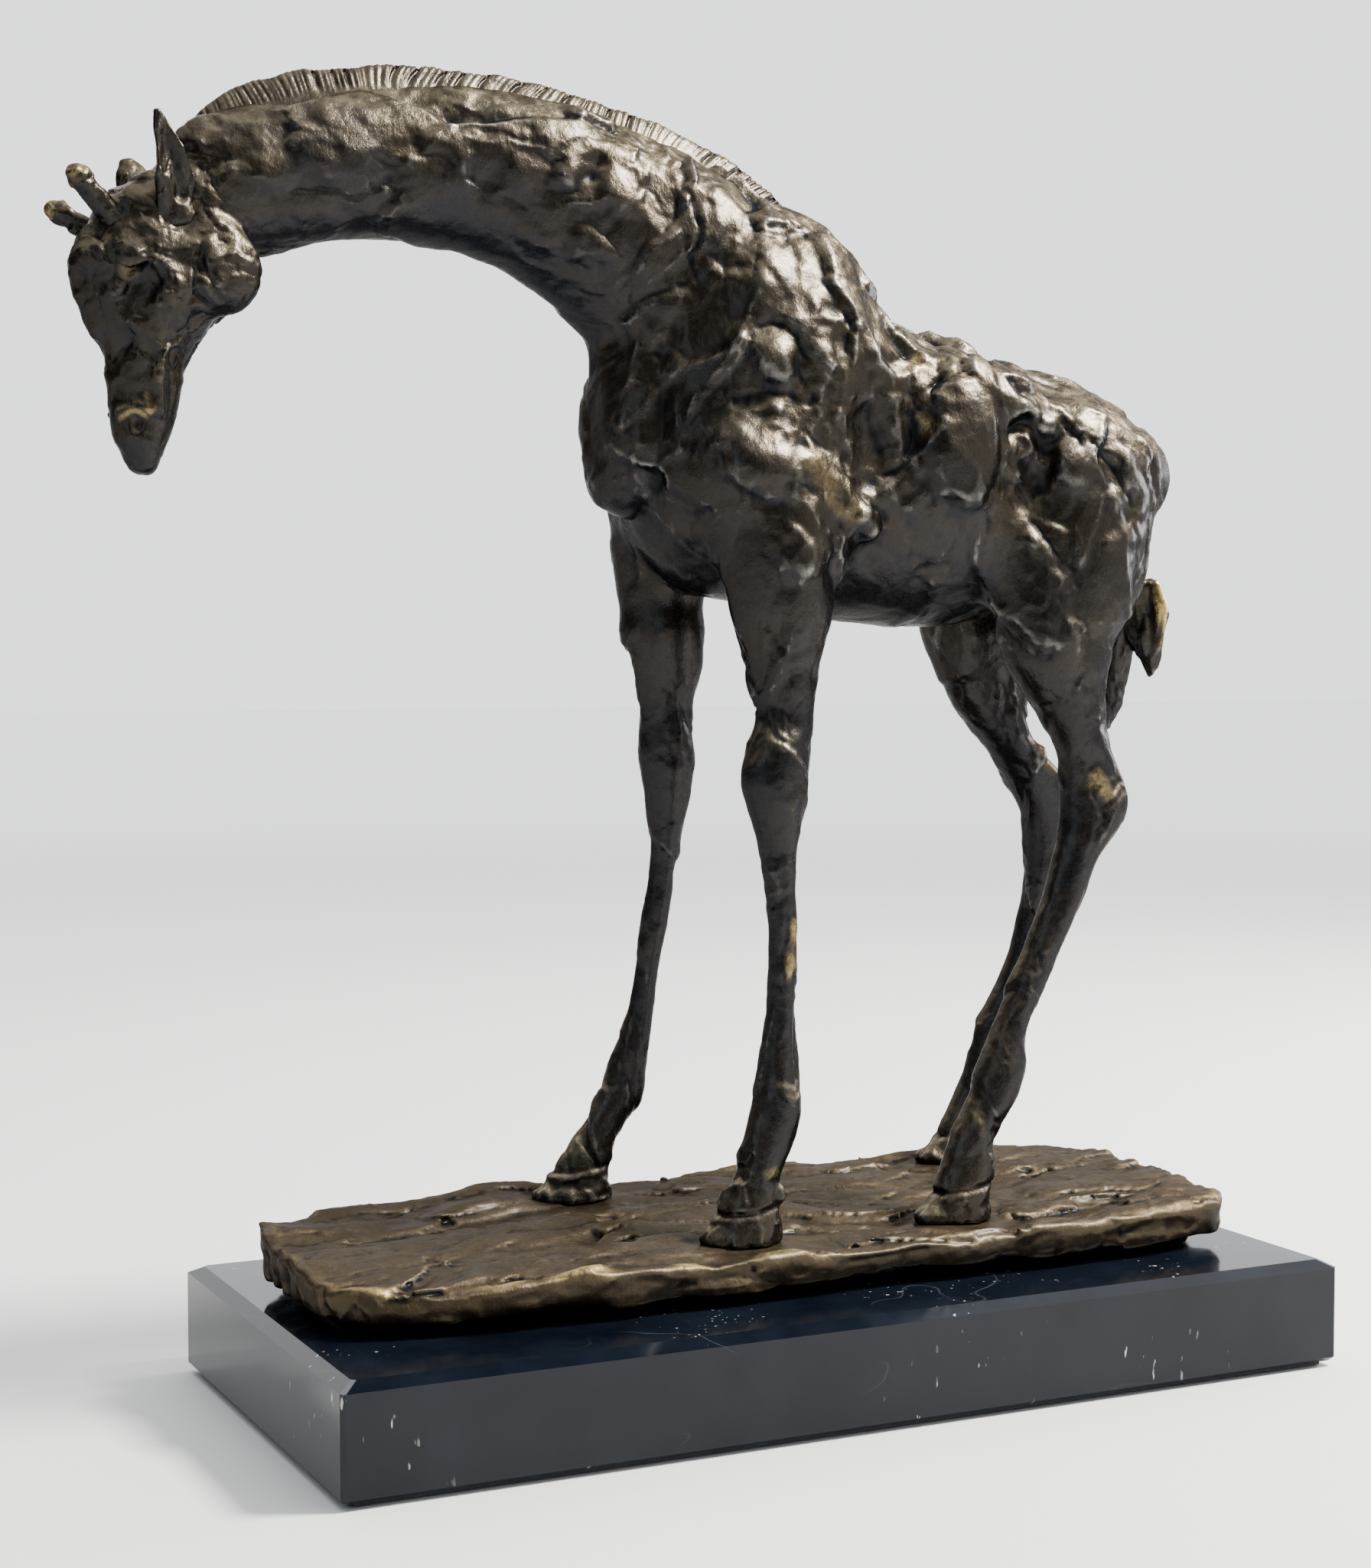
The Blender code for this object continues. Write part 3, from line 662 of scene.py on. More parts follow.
HIND_RIGHT = (
    (262, 100, 24, 24, 15), (245, 95, 25, 25, 15), (225, 89, 25, 22, 13.5),
    (205, 88, 24, 16, 11.5), (192, 91, 24, 11.8, 9.2), (180, 98.7, 24, 9.4, 7.8),
    (168, 109.5, 25, 10.8, 7.6), (158, 114, 26, 9.2, 7.2), (145, 113.8, 27, 6.4, 6),
    (123, 111.2, 29, 5.3, 5), (106, 106.6, 31, 5.4, 5), (89, 101, 33.5, 7.4, 6.4),
    (80, 98.6, 35, 7.6, 6.4), (68, 93, 36, 7.2, 6), (58, 89.6, 36, 8.6, 7),
    (48.3, 86.5, 36, 10.8, 8.2),
)
# Each leg's stations and the level where it is cut
LEGS = {
    "fore_leg_left": (FORE_LEFT, FORE_CUT), "fore_leg_right": (FORE_RIGHT, FORE_CUT),
    "hind_leg_left": (HIND_LEFT, HIND_CUT), "hind_leg_right": (HIND_RIGHT, HIND_CUT),
}
# Head, hanging down: z, x, y, half depth, half width
HEAD = (
    (329, -176, 0.5, 7, 6), (325, -177, 0.5, 13, 10.5), (318, -176, 0.5, 18, 13),
    (310, -174, 0.5, 20.6, 14.5), (301, -175.2, 0, 20.8, 15), (292, -178, 0, 14.8, 12.5),
    (284, -179.8, 0, 11, 9.5), (276, -180.2, 0, 9.2, 8), (267, -181, 0, 8, 7.8),
    (261.5, -181.2, 0, 6, 7), (257, -180.6, 0, 3, 4.4),
)
# Tail and its second lock: z, x, y, half depth, half width
TAIL = (
    (245, 119, 3, 5, 4.5), (238, 125.5, 3, 5, 4.6), (230, 129.5, 3, 4.4, 4.8),
    (221, 132, 3, 4.8, 5), (212, 133.5, 2, 4, 4.6), (206, 135, 1.5, 2.8, 3.2), (202, 136, 1, 1.4, 1.8),
)
TAIL_LOCK = (
    (226, 129.5, 5, 3.4, 4.4), (214, 130.5, 9, 4.6, 4.8), (202, 130.5, 13, 5, 5),
    (192, 130, 15, 4.2, 4.2), (186, 129.5, 16, 2, 2.4),
)
# Cuts of the neck from the torso and from the head: a point, and the direction that is cut away
NECK_CUT = (-32.0, 3.0, 319.0), (0.81, 0.0, -0.586)
HEAD_CUT = (-160.0, 1.0, 328.0), (0.87, 0.0, 0.49)

# ---- tool marks ----------------------------------------------------------------------------

# Marks on the flank that faces the camera. Their places are x and z in mm on the plane y = 0, as the
# camera sees it. Lines are: radius, height (below 0 for a crease), rubbed to brass 0 to 1, points.
TORSO_LINES = (
    (1.6, 1.0, 0.1, ((-36, 285), (-39, 276), (-40, 266), (-38, 255), (-33, 247), (-24, 240),
        (-16, 232), (-10, 224))),
    (2.6, 1.6, 0.1, ((-36, 283), (-28, 288), (-20, 289), (-12, 294), (-6, 299), (-3, 306), (-1, 313),
        (-4, 320))),
    (7.0, -2.6, 0.0, ((-22, 320), (-27, 305), (-32, 294), (-37, 284))),
    (3.0, 1.8, 0.1, ((9, 298), (13, 306), (17, 311), (20, 308))),
    (1.8, -1.8, 0.0, ((10, 303), (11, 296), (12, 289), (12, 286))),
    (2.4, 1.2, 0.1, ((22, 298), (17, 290), (10, 283), (2, 281), (-5, 284))),
    (3.0, 1.6, 0.1, ((-17, 267), (-9, 273), (2, 277), (10, 278), (15, 274))),
    (4.5, -1.8, 0.0, ((-20, 274), (-10, 280), (0, 283), (12, 283))),
    (3.4, 1.5, 0.25, ((11, 269), (19, 263), (27, 255), (35, 246))),
    (2.2, -2.2, 0.0, ((10, 279), (15, 273), (22, 268), (30, 261), (35, 255), (42, 246))),
    (3.6, -2.2, 0.0, ((-14, 268), (-13, 258), (-8, 251), (2, 250), (10, 253))),
    (1.6, 1.0, 0.1, ((40, 286), (41, 273))), (1.6, 1.1, 0.1, ((43, 287), (43, 271))),
    (2.4, 1.8, 0.2, ((41, 270), (42, 266), (46, 265), (50, 268))),
    (1.6, 1.6, 0.5, ((48, 290), (51, 294), (55, 293), (57, 289))),
    (1.6, 1.5, 0.5, ((51, 286), (53, 278), (54, 272), (52, 267))),
    (2.2, -2.8, 0.0, ((51, 287), (49, 279), (50, 271), (48, 266))),
    (1.6, -2.0, 0.0, ((58, 298), (58, 290), (57, 284))),
    (2.4, 1.3, 0.1, ((60, 296), (63, 286), (70, 283), (77, 290))),
    (1.8, 1.2, 0.1, ((48, 262), (43, 256), (43, 251), (51, 249), (58, 251))),
    (1.6, -1.8, 0.0, ((52, 262), (55, 257), (57, 251))),
    (2.6, 1.2, 0.1, ((60, 254), (70, 255), (76, 259), (77, 272), (75, 290))),
    (2.6, 1.6, 0.1, ((76, 287), (84, 283), (90, 279), (97, 275))),
    (5.0, -2.4, 0.0, ((86, 268), (90, 262), (96, 254))),
    (1.8, -2.4, 0.0, ((103, 282), (110, 276), (117, 270), (122, 264), (127, 257), (130, 250))),
    (2.6, 1.4, 0.1, ((117, 274), (125, 266), (131, 256))),
    (2.6, 1.3, 0.1, ((100, 271), (106, 262), (112, 258), (113, 267))),
    (2.2, 1.4, 0.1, ((117, 239), (124, 244), (130, 249))),
    (1.9, -2.6, 0.0, ((89, 250), (95, 244), (99, 238), (103, 231))),
    (2.4, 1.8, 0.1, ((87, 247), (92, 241), (97, 235), (102, 228))),
    (1.6, 1.2, 0.1, ((66, 223), (73, 225), (78, 221), (81, 212), (84, 204), (90, 194), (97, 181),
        (101, 169))),
    (2.6, 1.6, 0.1, ((-2, 244), (5, 246), (10, 242), (14, 236), (18, 229), (20, 222))),
    (2.2, 1.2, 0.1, ((-4, 238), (-1, 230), (2, 222), (4, 212), (6, 204))),
    (2.4, 1.2, 0.1, ((18, 226), (22, 218), (20, 208), (16, 200))),
)
NECK_LINES = (
    (2.0, -1.5, 0.0, ((-156, 331), (-146, 330), (-134, 331), (-124, 330), (-113, 332), (-108, 327))),
    (2.2, 1.1, 0.1, ((-139, 346), (-133, 341), (-127, 334))),
    (2.0, -1.8, 0.0, ((-119, 332), (-113, 334), (-110, 339))),
    (1.8, -1.3, 0.0, ((-108, 341), (-98, 341), (-90, 336), (-82, 334))),
    (1.7, -1.4, 0.0, ((-59, 348), (-56, 342), (-59, 336), (-70, 334))),
    (2.4, 0.8, 0.1, ((-112, 358), (-95, 358), (-75, 356), (-55, 351), (-34, 345))),
    (1.8, 0.7, 0.1, ((-104, 351), (-88, 351), (-68, 349), (-48, 346), (-30, 340))),
    (2.6, -1.4, 0.0, ((-58, 357), (-50, 355), (-42, 352))),
    (1.8, -1.9, 0.0, ((-38, 342), (-34, 337), (-31, 333), (-30, 327))),
    (2.6, -2.8, 0.0, ((-26, 340), (-22, 334), (-21, 326), (-24, 318), (-27, 311))),
    (3.2, 1.5, 0.1, ((-24, 342), (-15, 334), (-8, 328), (-4, 321))),
    (1.6, -0.9, 0.0, ((-82, 334), (-73, 331), (-66, 326), (-63, 320))),
    (1.6, -0.9, 0.0, ((-64, 326), (-55, 327), (-48, 323), (-46, 317), (-53, 312), (-61, 316))),
    (1.6, -1.2, 0.0, ((-43, 318), (-41, 311), (-43, 305))),
    (2.0, 0.9, 0.1, ((-39, 320), (-38, 312), (-41, 304))),
    (2.0, 1.0, 0.1, ((8, 335), (2, 331), (-6, 331))),
)
LEG_LINES = (
    (1.4, 0.8, 0.1, ((101, 168), (102, 158), (102, 146), (99, 132), (95, 118), (89, 104), (83, 94),
        (76, 84))),
    (1.5, 0.7, 0.7, ((101, 128), (99, 120), (96, 112), (92, 104))),
    (2.0, 1.2, 0.38, ((113, 172), (118, 166), (122, 162))),
    (1.8, -1.3, 0.0, ((108, 180), (112, 174), (116, 166))),
    (1.4, 1.0, 0.2, ((80, 186), (86, 183), (94, 177), (101, 169))),
    (1.5, -0.9, 0.0, ((4, 200), (6, 193), (8, 187), (12, 190))),
    (1.8, 1.0, 0.1, ((4, 190), (5, 182), (8, 176), (12, 178))),
    (1.6, 1.0, 0.2, ((1, 172), (4, 166), (9, 164), (13, 168))),
    (1.5, 0.7, 0.0, ((3, 158), (3.5, 144), (4, 126), (3.5, 108))),
    (1.3, 0.6, 0.5, ((9, 134), (9.5, 126), (9, 118), (9.5, 110))),
    (1.6, -0.8, 0.0, ((6.5, 156), (6.5, 138), (6.5, 118), (6.5, 98))),
    (2.0, 1.0, 0.5, ((-2, 64), (1, 58), (3, 54))),
    (1.6, 1.0, 0.1, ((-30, 190), (-27, 187), (-25, 181))),
    (1.5, 0.7, 0.1, ((-34, 165), (-35, 150), (-37, 134), (-41, 118), (-44, 104))),
    (1.6, 1.1, 0.2, ((74, 74), (73, 68), (76, 60), (76, 54))),
)
# Pads are: x, z, half width, half height, tilt in degrees, height
TORSO_PADS = (
    (4, 293, 8, 7, 0, 1.3), (-14, 304, 9, 12, -25, -1.0), (0, 262, 14, 12, 0, 1.8),
    (35, 272, 8, 15, 20, -1.2), (27, 288, 8, 6, 30, 1.0), (44, 274, 5, 9, 10, 1.0),
    (67, 272, 11, 19, 0, 1.9), (64, 262, 9, 7, 0, 0.8), (88, 283, 8, 4, -25, 1.0),
    (97, 277, 5, 4, 0, 1.2), (91, 257, 6, 11, 15, -0.8), (106, 264, 9, 7, -20, 1.2),
    (118, 262, 5, 6, 0, -1.2), (30, 300, 6, 5, 0, -0.9), (52, 300, 6, 4, 0, -0.8),
    (84, 276, 5, 4, 0, -0.9),
)
NECK_PADS = (
    (-146, 337, 9, 7, 0, 1.1), (-132, 341, 8, 6, -20, 0.8), (-114, 336, 4, 4, 0, -0.6),
    (-75, 343, 7, 6, 0, 0.8), (-62, 342, 5, 6, 0, 1.3), (-54, 320, 8, 6, 0, 0.8),
    (-46, 337, 8, 5, -30, 1.0), (-18, 330, 6, 8, -20, 0.9), (-121, 344, 7, 5, 20, 0.7),
    (-96, 346, 9, 4, -10, 0.8), (-72, 324, 7, 4, -30, 0.6),
)
HEAD_LINES = (
    (1.3, -1.7, 0.0, ((-166, 315), (-168, 309), (-167, 302), (-163, 297))),
    (1.0, -1.4, 0.0, ((-168, 310), (-166, 308), (-165, 306))),
    (1.0, -1.2, 0.0, ((-160, 315), (-157, 311))), (1.2, -1.5, 0.0, ((-181, 312), (-178, 308))),
    (1.6, 0.9, 0.2, ((-185, 314), (-184, 309), (-180, 306))),
    (1.3, 0.8, 0.1, ((-186, 291), (-188, 286), (-187, 280))),
    (1.2, 0.8, 0.1, ((-178, 292), (-180, 286), (-179, 282))),
    (1.1, -0.9, 0.0, ((-177, 290), (-178, 285), (-176, 280))),
    (1.2, 0.8, 0.16, ((-174.5, 287), (-177, 281), (-178.3, 276), (-177.5, 270))),
    (0.7, 0.4, 0.42, ((-188, 268.6), (-183.7, 270.6), (-179.5, 270.3))),
    (1.0, 0.5, 0.7, ((-180, 270.8), (-178.3, 273), (-178.5, 277))),
    (1.4, 0.8, 0.1, ((-174, 290), (-172, 286), (-172, 281))),
    (1.4, 1.0, 0.1, ((-172, 331), (-171, 326), (-174, 321))),
    (1.2, -1.1, 0.0, ((-170, 330), (-168, 325), (-170, 321))),
    (1.3, -1.3, 0.0, ((-163, 336), (-162, 330), (-159, 326), (-157, 329))),
    (1.4, 0.9, 0.2, ((-167, 330), (-163, 327), (-160, 324))),
    (1.4, 0.8, 0.1, ((-177, 320), (-173, 318), (-170, 321))),
)
HEAD_PADS = (
    (-160, 308, 6.5, 9, 0, 0.8), (-183, 311, 4, 4, 0, 0.7), (-171, 307, 3.5, 7, -10, -0.8),
    (-184, 280, 4, 4, 0, 0.4), (-176, 300, 3, 4, 0, 0.6),
)
# Slope of a raised pad, to the right and to the top, so that it faces the light
PAD_LEAN = 0.07, 0.11
LINES = TORSO_LINES + NECK_LINES + LEG_LINES + HEAD_LINES
PADS = TORSO_PADS + NECK_PADS + HEAD_PADS


def tool_marks(points, normals):
    """Relief, rubbed brass and smoothness from the marks, on the flank that faces the camera."""
    seen = facing(points, normals)
    at = seen_from_front(points)
    at = at + np.stack([unevenness(points, 81), unevenness(points, 82)], 1)
    broken = step(-0.55, 0.35, noise(points, 6.5, 83))
    depth, gilt, calm = np.zeros((3, len(points)))
    for radius, height, brass, line in LINES:
        if height > 0:
            profile = line_profile(at, line, radius * 2.2) * (0.4 + 0.6 * broken)
            depth += 0.5 * height * profile
            gilt = np.maximum(gilt, (brass - 0.1) * broken * np.clip(profile * 1.4 - 0.3, 0, 1))
        else:
            depth += height * (0.36 * line_profile(at, line, radius * 0.6) * broken
                               + 0.36 * line_profile(at, line, radius * 3.2))
    for x, z, half_x, half_z, tilt, height in PADS:
        profile = pad_profile(at, (x, z), (half_x, half_z), tilt)
        if height > 0:
            calm = np.maximum(calm, 0.75 * profile)
            height = height - PAD_LEAN[0] * (at[:, 0] - x) - PAD_LEAN[1] * (at[:, 1] - z)
        depth += height * profile
    return depth * seen, gilt * seen, calm * seen


def unevenness(points, seed):
    """How far a mark's outline wanders, in mm."""
    return 2.0 * noise(points, 8, seed) + 0.8 * noise(points, 3.2, seed + 4)


def roughness_of(points, normals):
    """How lumpy the modelling is: most on the flanks and the top of the neck, least on belly and shins."""
    x, y, z = points.T
    spine = np.interp(x, [s[0] for s in NECK], [s[2] for s in NECK])
    neck = np.where(x < -25, step(-6, 8, z - spine), 1.0)
    body = step(236, 256, z) * (0.35 + 0.65 * neck)
    lower = 0.42 + 0.26 * step(165, 215, z)
    crest = step(0.75, 0.97, normals[:, 2]) * step(30, 0, x)
    underneath = step(0.2, 0.9, -normals[:, 2])
    return np.maximum(body, lower) * (1 - 0.45 * underneath) * (1 - 0.6 * crest)


def grained(points):
    """Points in a space where patches that are round there run down the flank, and along the neck."""
    x, y, z = points.T
    along_neck = step(-15, -70, x)
    down = np.where(z > 235, (z - 235) * 0.62, (z - 235) * 0.45)
    return np.stack([x * (1 - 0.42 * along_neck), y, down * (1 - along_neck) + (z - 235) * along_neck], 1)


def smeared_clay(points):
    """Patches of clay over each other, large, middling and small, in mm."""
    patchy = step(-0.4, 0.4, noise(points, 19, 6))
    bent = points + 3.4 * wander(points, 12, 7) + 0.5 * wander(points, 3.4, 17)
    drawn_out = grained(bent)
    large = 2.1 * slabs(drawn_out @ TURNED, 19, 1, 0.11)
    middling = 0.75 * slabs(drawn_out @ TURNED.T, 10.5, 2, 0.14)
    small = 0.42 * slabs(bent @ TURNED, 5.4, 10, 0.25) * (0.2 + 0.8 * patchy)
    return large + middling + small + 1.0 * noise(points, 26, 3) + 0.13 * noise(points, 1.9, 4)


def hide_relief(points, normals):
    """The modelled surface of the giraffe: smeared clay everywhere, and the marks on both flanks."""
    depth, gilt, calm = tool_marks(points, normals)
    depth = np.clip(depth, -1.6, 2.4)
    warp = noise(points, 26, 5)[:, None] * (4.0, 0.0, 3.0)
    mirrored = points * (1, -1, 1) + (0, 2 * BODY_Y, 0) + warp
    far_depth, far_gilt, far_calm = tool_marks(mirrored, normals * (1, -1, 1))
    amount = roughness_of(points, normals) * (1 - np.maximum(calm, far_calm))
    x, _, z = points.T
    from_cut = z - np.where(x < FORE_LEGS_END, FORE_CUT, HIND_CUT)
    near_cut = 1 - 0.75 * np.exp(-((from_cut / 5.0) ** 2))
    depth = (depth + far_depth * 0.9 + smeared_clay(points) * amount) * near_cut
    return depth, np.maximum(gilt, far_gilt * 0.6)


# ---- castings ------------------------------------------------------------------------------


def fillet_above(level):
    """Next to nothing below a level, and wider higher up."""
    return lambda z: 0.5 + 9.0 * step(level + 1, level + 26, z)


def torso_field():
    field = Field((-60, -42, 193), (136, 48, 342), 0.85)
    field.add(barrel_form(TORSO, BODY_Y))
    for stations, cut in LEGS.values():
        field.add(level_form([s for s in stations if s[0] > 150], 8), fillet_above(cut))
    field.add(spine_form(NECK[4:], 8), 12.0, ((-60, -42, 240), (30, 48, 342)))
    for side in (-1, 1):
        add_masses(field, side)
    return field


def add_masses(field, side):
    """Shoulder, ribs and haunch stand out on each flank, with hollows between them. side is -1 or 1."""

    def at(x, depth, z):
        return x, BODY_Y + side * depth, z

    field.add(ball_form(at(-14, 26, 260), (18, 12, 15)), 7.0)
    field.add(ball_form(at(-12, 17, 310), (12, 12, 11)), 8.0)
    field.add(ball_form(at(-9, 25, 290), (13, 10, 10)), 7.0)
    field.add(rod_form((*at(-6, 32, 269), 2.0), (*at(8, 33, 256), 3.4), (*at(18, 32, 243), 2.6)), 5.0)
    field.add(ball_form(at(49, 27, 271), (15, 11, 23)), 6.0)
    field.add(ball_form(at(68, 25, 280), (14, 10, 9), -20), 6.0)
    field.add(ball_form(at(88, 27, 262), (16, 10, 17)), 7.0)
    field.carve(ball_form(at(20, 43, 272), (12, 11, 20), 15), 9.0)
    field.carve(ball_form(at(69, 43, 260), (8, 9, 16), 10), 8.0)


def make_torso():
    """The torso with its thighs and upper arms, cut off level above each leg and across the neck."""
    obj = sculpt("torso", torso_field(), hide_relief, "torso_casting")
    for name, (stations, cut) in LEGS.items():
        side = -1 if name.endswith("left") else 1
        low_x, high_x, clear = (-45, 24, 8.5) if name.startswith("fore") else (50, 134, 0.0)

        def in_column(point, side=side, low_x=low_x, high_x=high_x, clear=clear, cut=cut):
            return low_x < point.x < high_x and side * (point.y - BODY_Y) > clear and point.z < cut + 5

        trim(obj, (0, 0, cut), (0, 0, -1), in_column)
    point, normal = NECK_CUT
    trim(obj, point, [-n for n in normal])


def make_neck():
    """The neck, blended into torso and head before it is cut off on both sides."""
    field = Field((-182, -32, 268), (4, 38, 368), 0.7)
    field.add(spine_form(NECK, 8))
    field.add(barrel_form(TORSO[:6], BODY_Y), 12.0, ((-60, -42, 240), (30, 48, 342)))
    field.add(level_form(HEAD, 2), 5.0, ((-200, -42, 250), (-140, 48, 342)))
    obj = sculpt("neck", field, hide_relief, "neck_casting")
    trim(obj, *NECK_CUT)
    point, normal = HEAD_CUT
    trim(obj, point, [-n for n in normal])


def add_head_details(field, side):
    """Brow, eye, cheek, jaw, nostril and lips of one side of the head; side is -1 or 1."""
    brow = (-195, 5.0 * side, 309, 2.4), (-188, 10.4 * side, 309.5, 2.8), (-178, 12.0 * side, 303, 2.6)
    jaw_seam = (-168.5, 15.6 * side, 315, 0.9), (-169.5, 15.8 * side, 308, 1.2), (-164, 15.4 * side, 298, 0.8)
    cheekbone = (-180, 11.4 * side, 296, 1.4), (-178.5, 9.5 * side, 284, 1.6), (-178.5, 7.6 * side, 272, 1.5)
    lip = (-188, 4.9 * side, 270, 0.8), (-183.5, 7.3 * side, 271.3, 1.0), (-178, 7.4 * side, 270, 1.0)
    field.add(ball_form((-163.5, 10.2 * side, 307), (11.3, 5.6, 12.6)), 4.0)
    field.add(rod_form(*brow), 6.0)
    field.carve(ball_form((-187.0, 15.0 * side, 299), (9.5, 5.0, 6.6), 40), 3.0)
    field.carve(rod_form(*jaw_seam), 1.0)
    field.add(ball_form((-189.0, 8.6 * side, 300.6), (3.4, 2.2, 1.7), 30), 1.6)
    field.add(rod_form(*cheekbone), 2.6)
    field.carve(ball_form((-172.5, 11.0 * side, 279), (3.0, 3.0, 6.0)), 3.0)
    field.carve(ball_form((-188.5, 8.8 * side, 282), (3.0, 3.4, 8.0)), 3.0)
    field.add(rod_form(*lip), 2.0)
    field.carve(ball_form((-184.2, 8.4 * side, 266.6), (1.7, 2.2, 3.0), -20), 0.8)
    field.carve(ball_form((-173, 16.5 * side, 319), (6, 4, 5)), 4.0)


def head_relief(points, normals):
    """Smaller patches than on the body, with the marks of the near side on both sides. At the neck the
    relief turns into that of the hide, so that the two castings meet flush."""
    depth, gilt, _ = tool_marks(points, normals)
    far_depth, far_gilt, _ = tool_marks(points * (1, -1, 1), normals * (1, -1, 1))
    bent = points + 0.8 * wander(points, 5, 27)
    lumps = 0.8 * slabs(bent, 9, 24, 0.16) + 0.3 * slabs(bent @ TURNED, 4.6, 25, 0.25)
    lumps = lumps + 0.13 * noise(points, 1.8, 26)
    calm = 0.5 + 0.5 * step(276, 292, points[:, 2])
    own, own_gilt = depth + far_depth + lumps * calm, np.maximum(gilt, far_gilt)
    at_neck, neck_gilt = hide_relief(points, normals)
    point, normal = np.array(HEAD_CUT)
    inward = step(0, 9, -((points - point) @ normal))
    return at_neck + (own - at_neck) * inward, neck_gilt + (own_gilt - neck_gilt) * inward


def make_head():
    """The head with forehead, nose and mouth, cut off at the neck."""
    field = Field((-204, -22, 252), (-146, 24, 350), 0.42)
    field.add(level_form(HEAD, 2))
    field.add(spine_form(NECK[:4], 6), 5.0)
    for side in (-1, 1):
        add_head_details(field, side)
    field.add(rod_form((-194, 0, 312, 3.0), (-196, 0, 305, 3.0), (-192, 0, 292, 3.0)), 5.0)
    field.add(ball_form((-181.0, 0, 259.5), (4.6, 4.8, 4.4)), 2.5)
    field.carve(rod_form((-191, 0, 262, 0.7), (-191, 0, 270, 0.7)), 1.5)
    obj = sculpt("head", field, head_relief, "head_casting")
    trim(obj, *HEAD_CUT)


def leg_field(stations, cut):
    """A leg with its cloven hoof, from the sole to a little above the cut."""
    low = np.min([(s[1] - s[3], s[2] - s[4], s[0]) for s in stations], axis=0) - 4
    high = np.max([(s[1] + s[3], s[2] + s[4], s[0]) for s in stations], axis=0) + 4
    high[2] = cut + 5
    field = Field(low, high, 0.6)
    field.add(level_form(stations, 0.6))
    field.add(barrel_form(TORSO, BODY_Y), fillet_above(cut), ((-60, -42, 200), (136, 48, cut + 6)))
    sole_z, toe_x, toe_y, half_x, _ = stations[-1]
    tip_x = toe_x - half_x
    field.add(ball_form((tip_x + 2.0, toe_y, sole_z + 1.0), (4.5, 4.2, 3.0)), 3.0)
    field.carve(rod_form((tip_x - 3, toe_y, sole_z, 0.8), (tip_x + 3, toe_y, sole_z + 10, 0.5)), 1.0)
    for side in (-1, 1):
        heel = (toe_x + half_x - 2.5, toe_y + side * 3.2, sole_z + 13.5, 1.6)
        field.add(rod_form(heel, (heel[0] + 1, heel[1], heel[2] - 3, 1.2)), 1.6)
    return field


def hoof_relief(stations):
    """The hide's relief above the hoof, and on the hoof a smoother wall under a sharp coronet groove."""
    sole_z = stations[-1][0]

    def relief(points, normals):
        depth, gilt = hide_relief(points, normals)
        level = points[:, 2] - sole_z - 0.12 * (points[:, 0] - stations[-1][1])
        wall = step(10.5, 8.5, level)
        groove = np.exp(-((level - 8.8) / 0.9) ** 2)
        rings = 0.25 * noise(points * (0.2, 0.2, 1.6), 3, 9) + 0.5 * slabs(points, 5, 8, 0.3)
        return depth * (1 - 0.5 * wall) - 0.7 * groove + wall * rings, gilt

    return relief


def make_legs():
    for name, (stations, cut) in LEGS.items():
        obj = sculpt(name.replace("leg", "limb"), leg_field(stations, cut), hoof_relief(stations), name)
        trim(obj, (0, 0, cut), (0, 0, 1))


def ring_piece(name, rings):
    """A bronze piece skinned over rings of points, closed at both ends."""
    rows, count = len(rings), len(rings[0])
    k = np.arange(count)
    after = (k + 1) % count
    quads = np.concatenate([
        np.stack([row + k, row + after, row + count + after, row + count + k], 1)
        for row in count * np.arange(rows - 1)
    ])
    points = rings.reshape(-1, 3)
    obj = bronze_mesh(name, points, quads, np.zeros(len(points)), fine=(4, 0.8), broad_rounds=30)
    bm = bmesh.new()
    bm.from_mesh(obj.data)
    rim = [e for e in bm.edges if e.is_boundary]
    for at_start in (True, False):
        bmesh.ops.edgeloop_fill(bm, edges=[e for e in rim if (e.verts[0].index < count) == at_start])
    bmesh.ops.recalc_face_normals(bm, faces=bm.faces)
    bm.to_mesh(obj.data)
    bm.free()


def comb_cuts(length, seed, pitch=1.3, width=0.30):
    """Depth of the cuts drawn across the mane with a comb, as a function of the place along it:
    fine cuts in groups, and a few deep ones."""
    rng = np.random.default_rng(seed)
    places = np.cumsum(pitch * rng.uniform(0.5, 1.6, int(length / pitch * 1.2)))
    groups = 0.5 + 0.5 * np.sin(places / 5.5 + 2.2 * np.sin(places / 17 + seed))
    depths = rng.uniform(0.15, 1.0, len(places)) * (0.4 + 0.6 * groups)
    widths = width * rng.uniform(0.6, 1.7, len(places))
    deep = rng.random(len(places)) < 0.14
    depths, widths = np.where(deep, 1.25, depths), np.where(deep, width * 2.0, widths)
    at = np.arange(-20, length + 20, 0.05)
    cut = np.zeros_like(at)
    for place, depth, half in zip(places, depths, widths):
        cut = np.maximum(cut, depth * np.exp(-((at - place) / half) ** 2))
    return lambda run: np.interp(run, at, cut)


# The mane's section: half width and height over the crest, from its foot in the neck to its top
MANE_SECTION = ((6.8, -6.0), (5.3, -2.4), (4.1, 0.4), (3.1, 2.3), (2.5, 3.7), (1.7, 4.8), (0.6, 5.35))
MANE_PITCH = 0.26


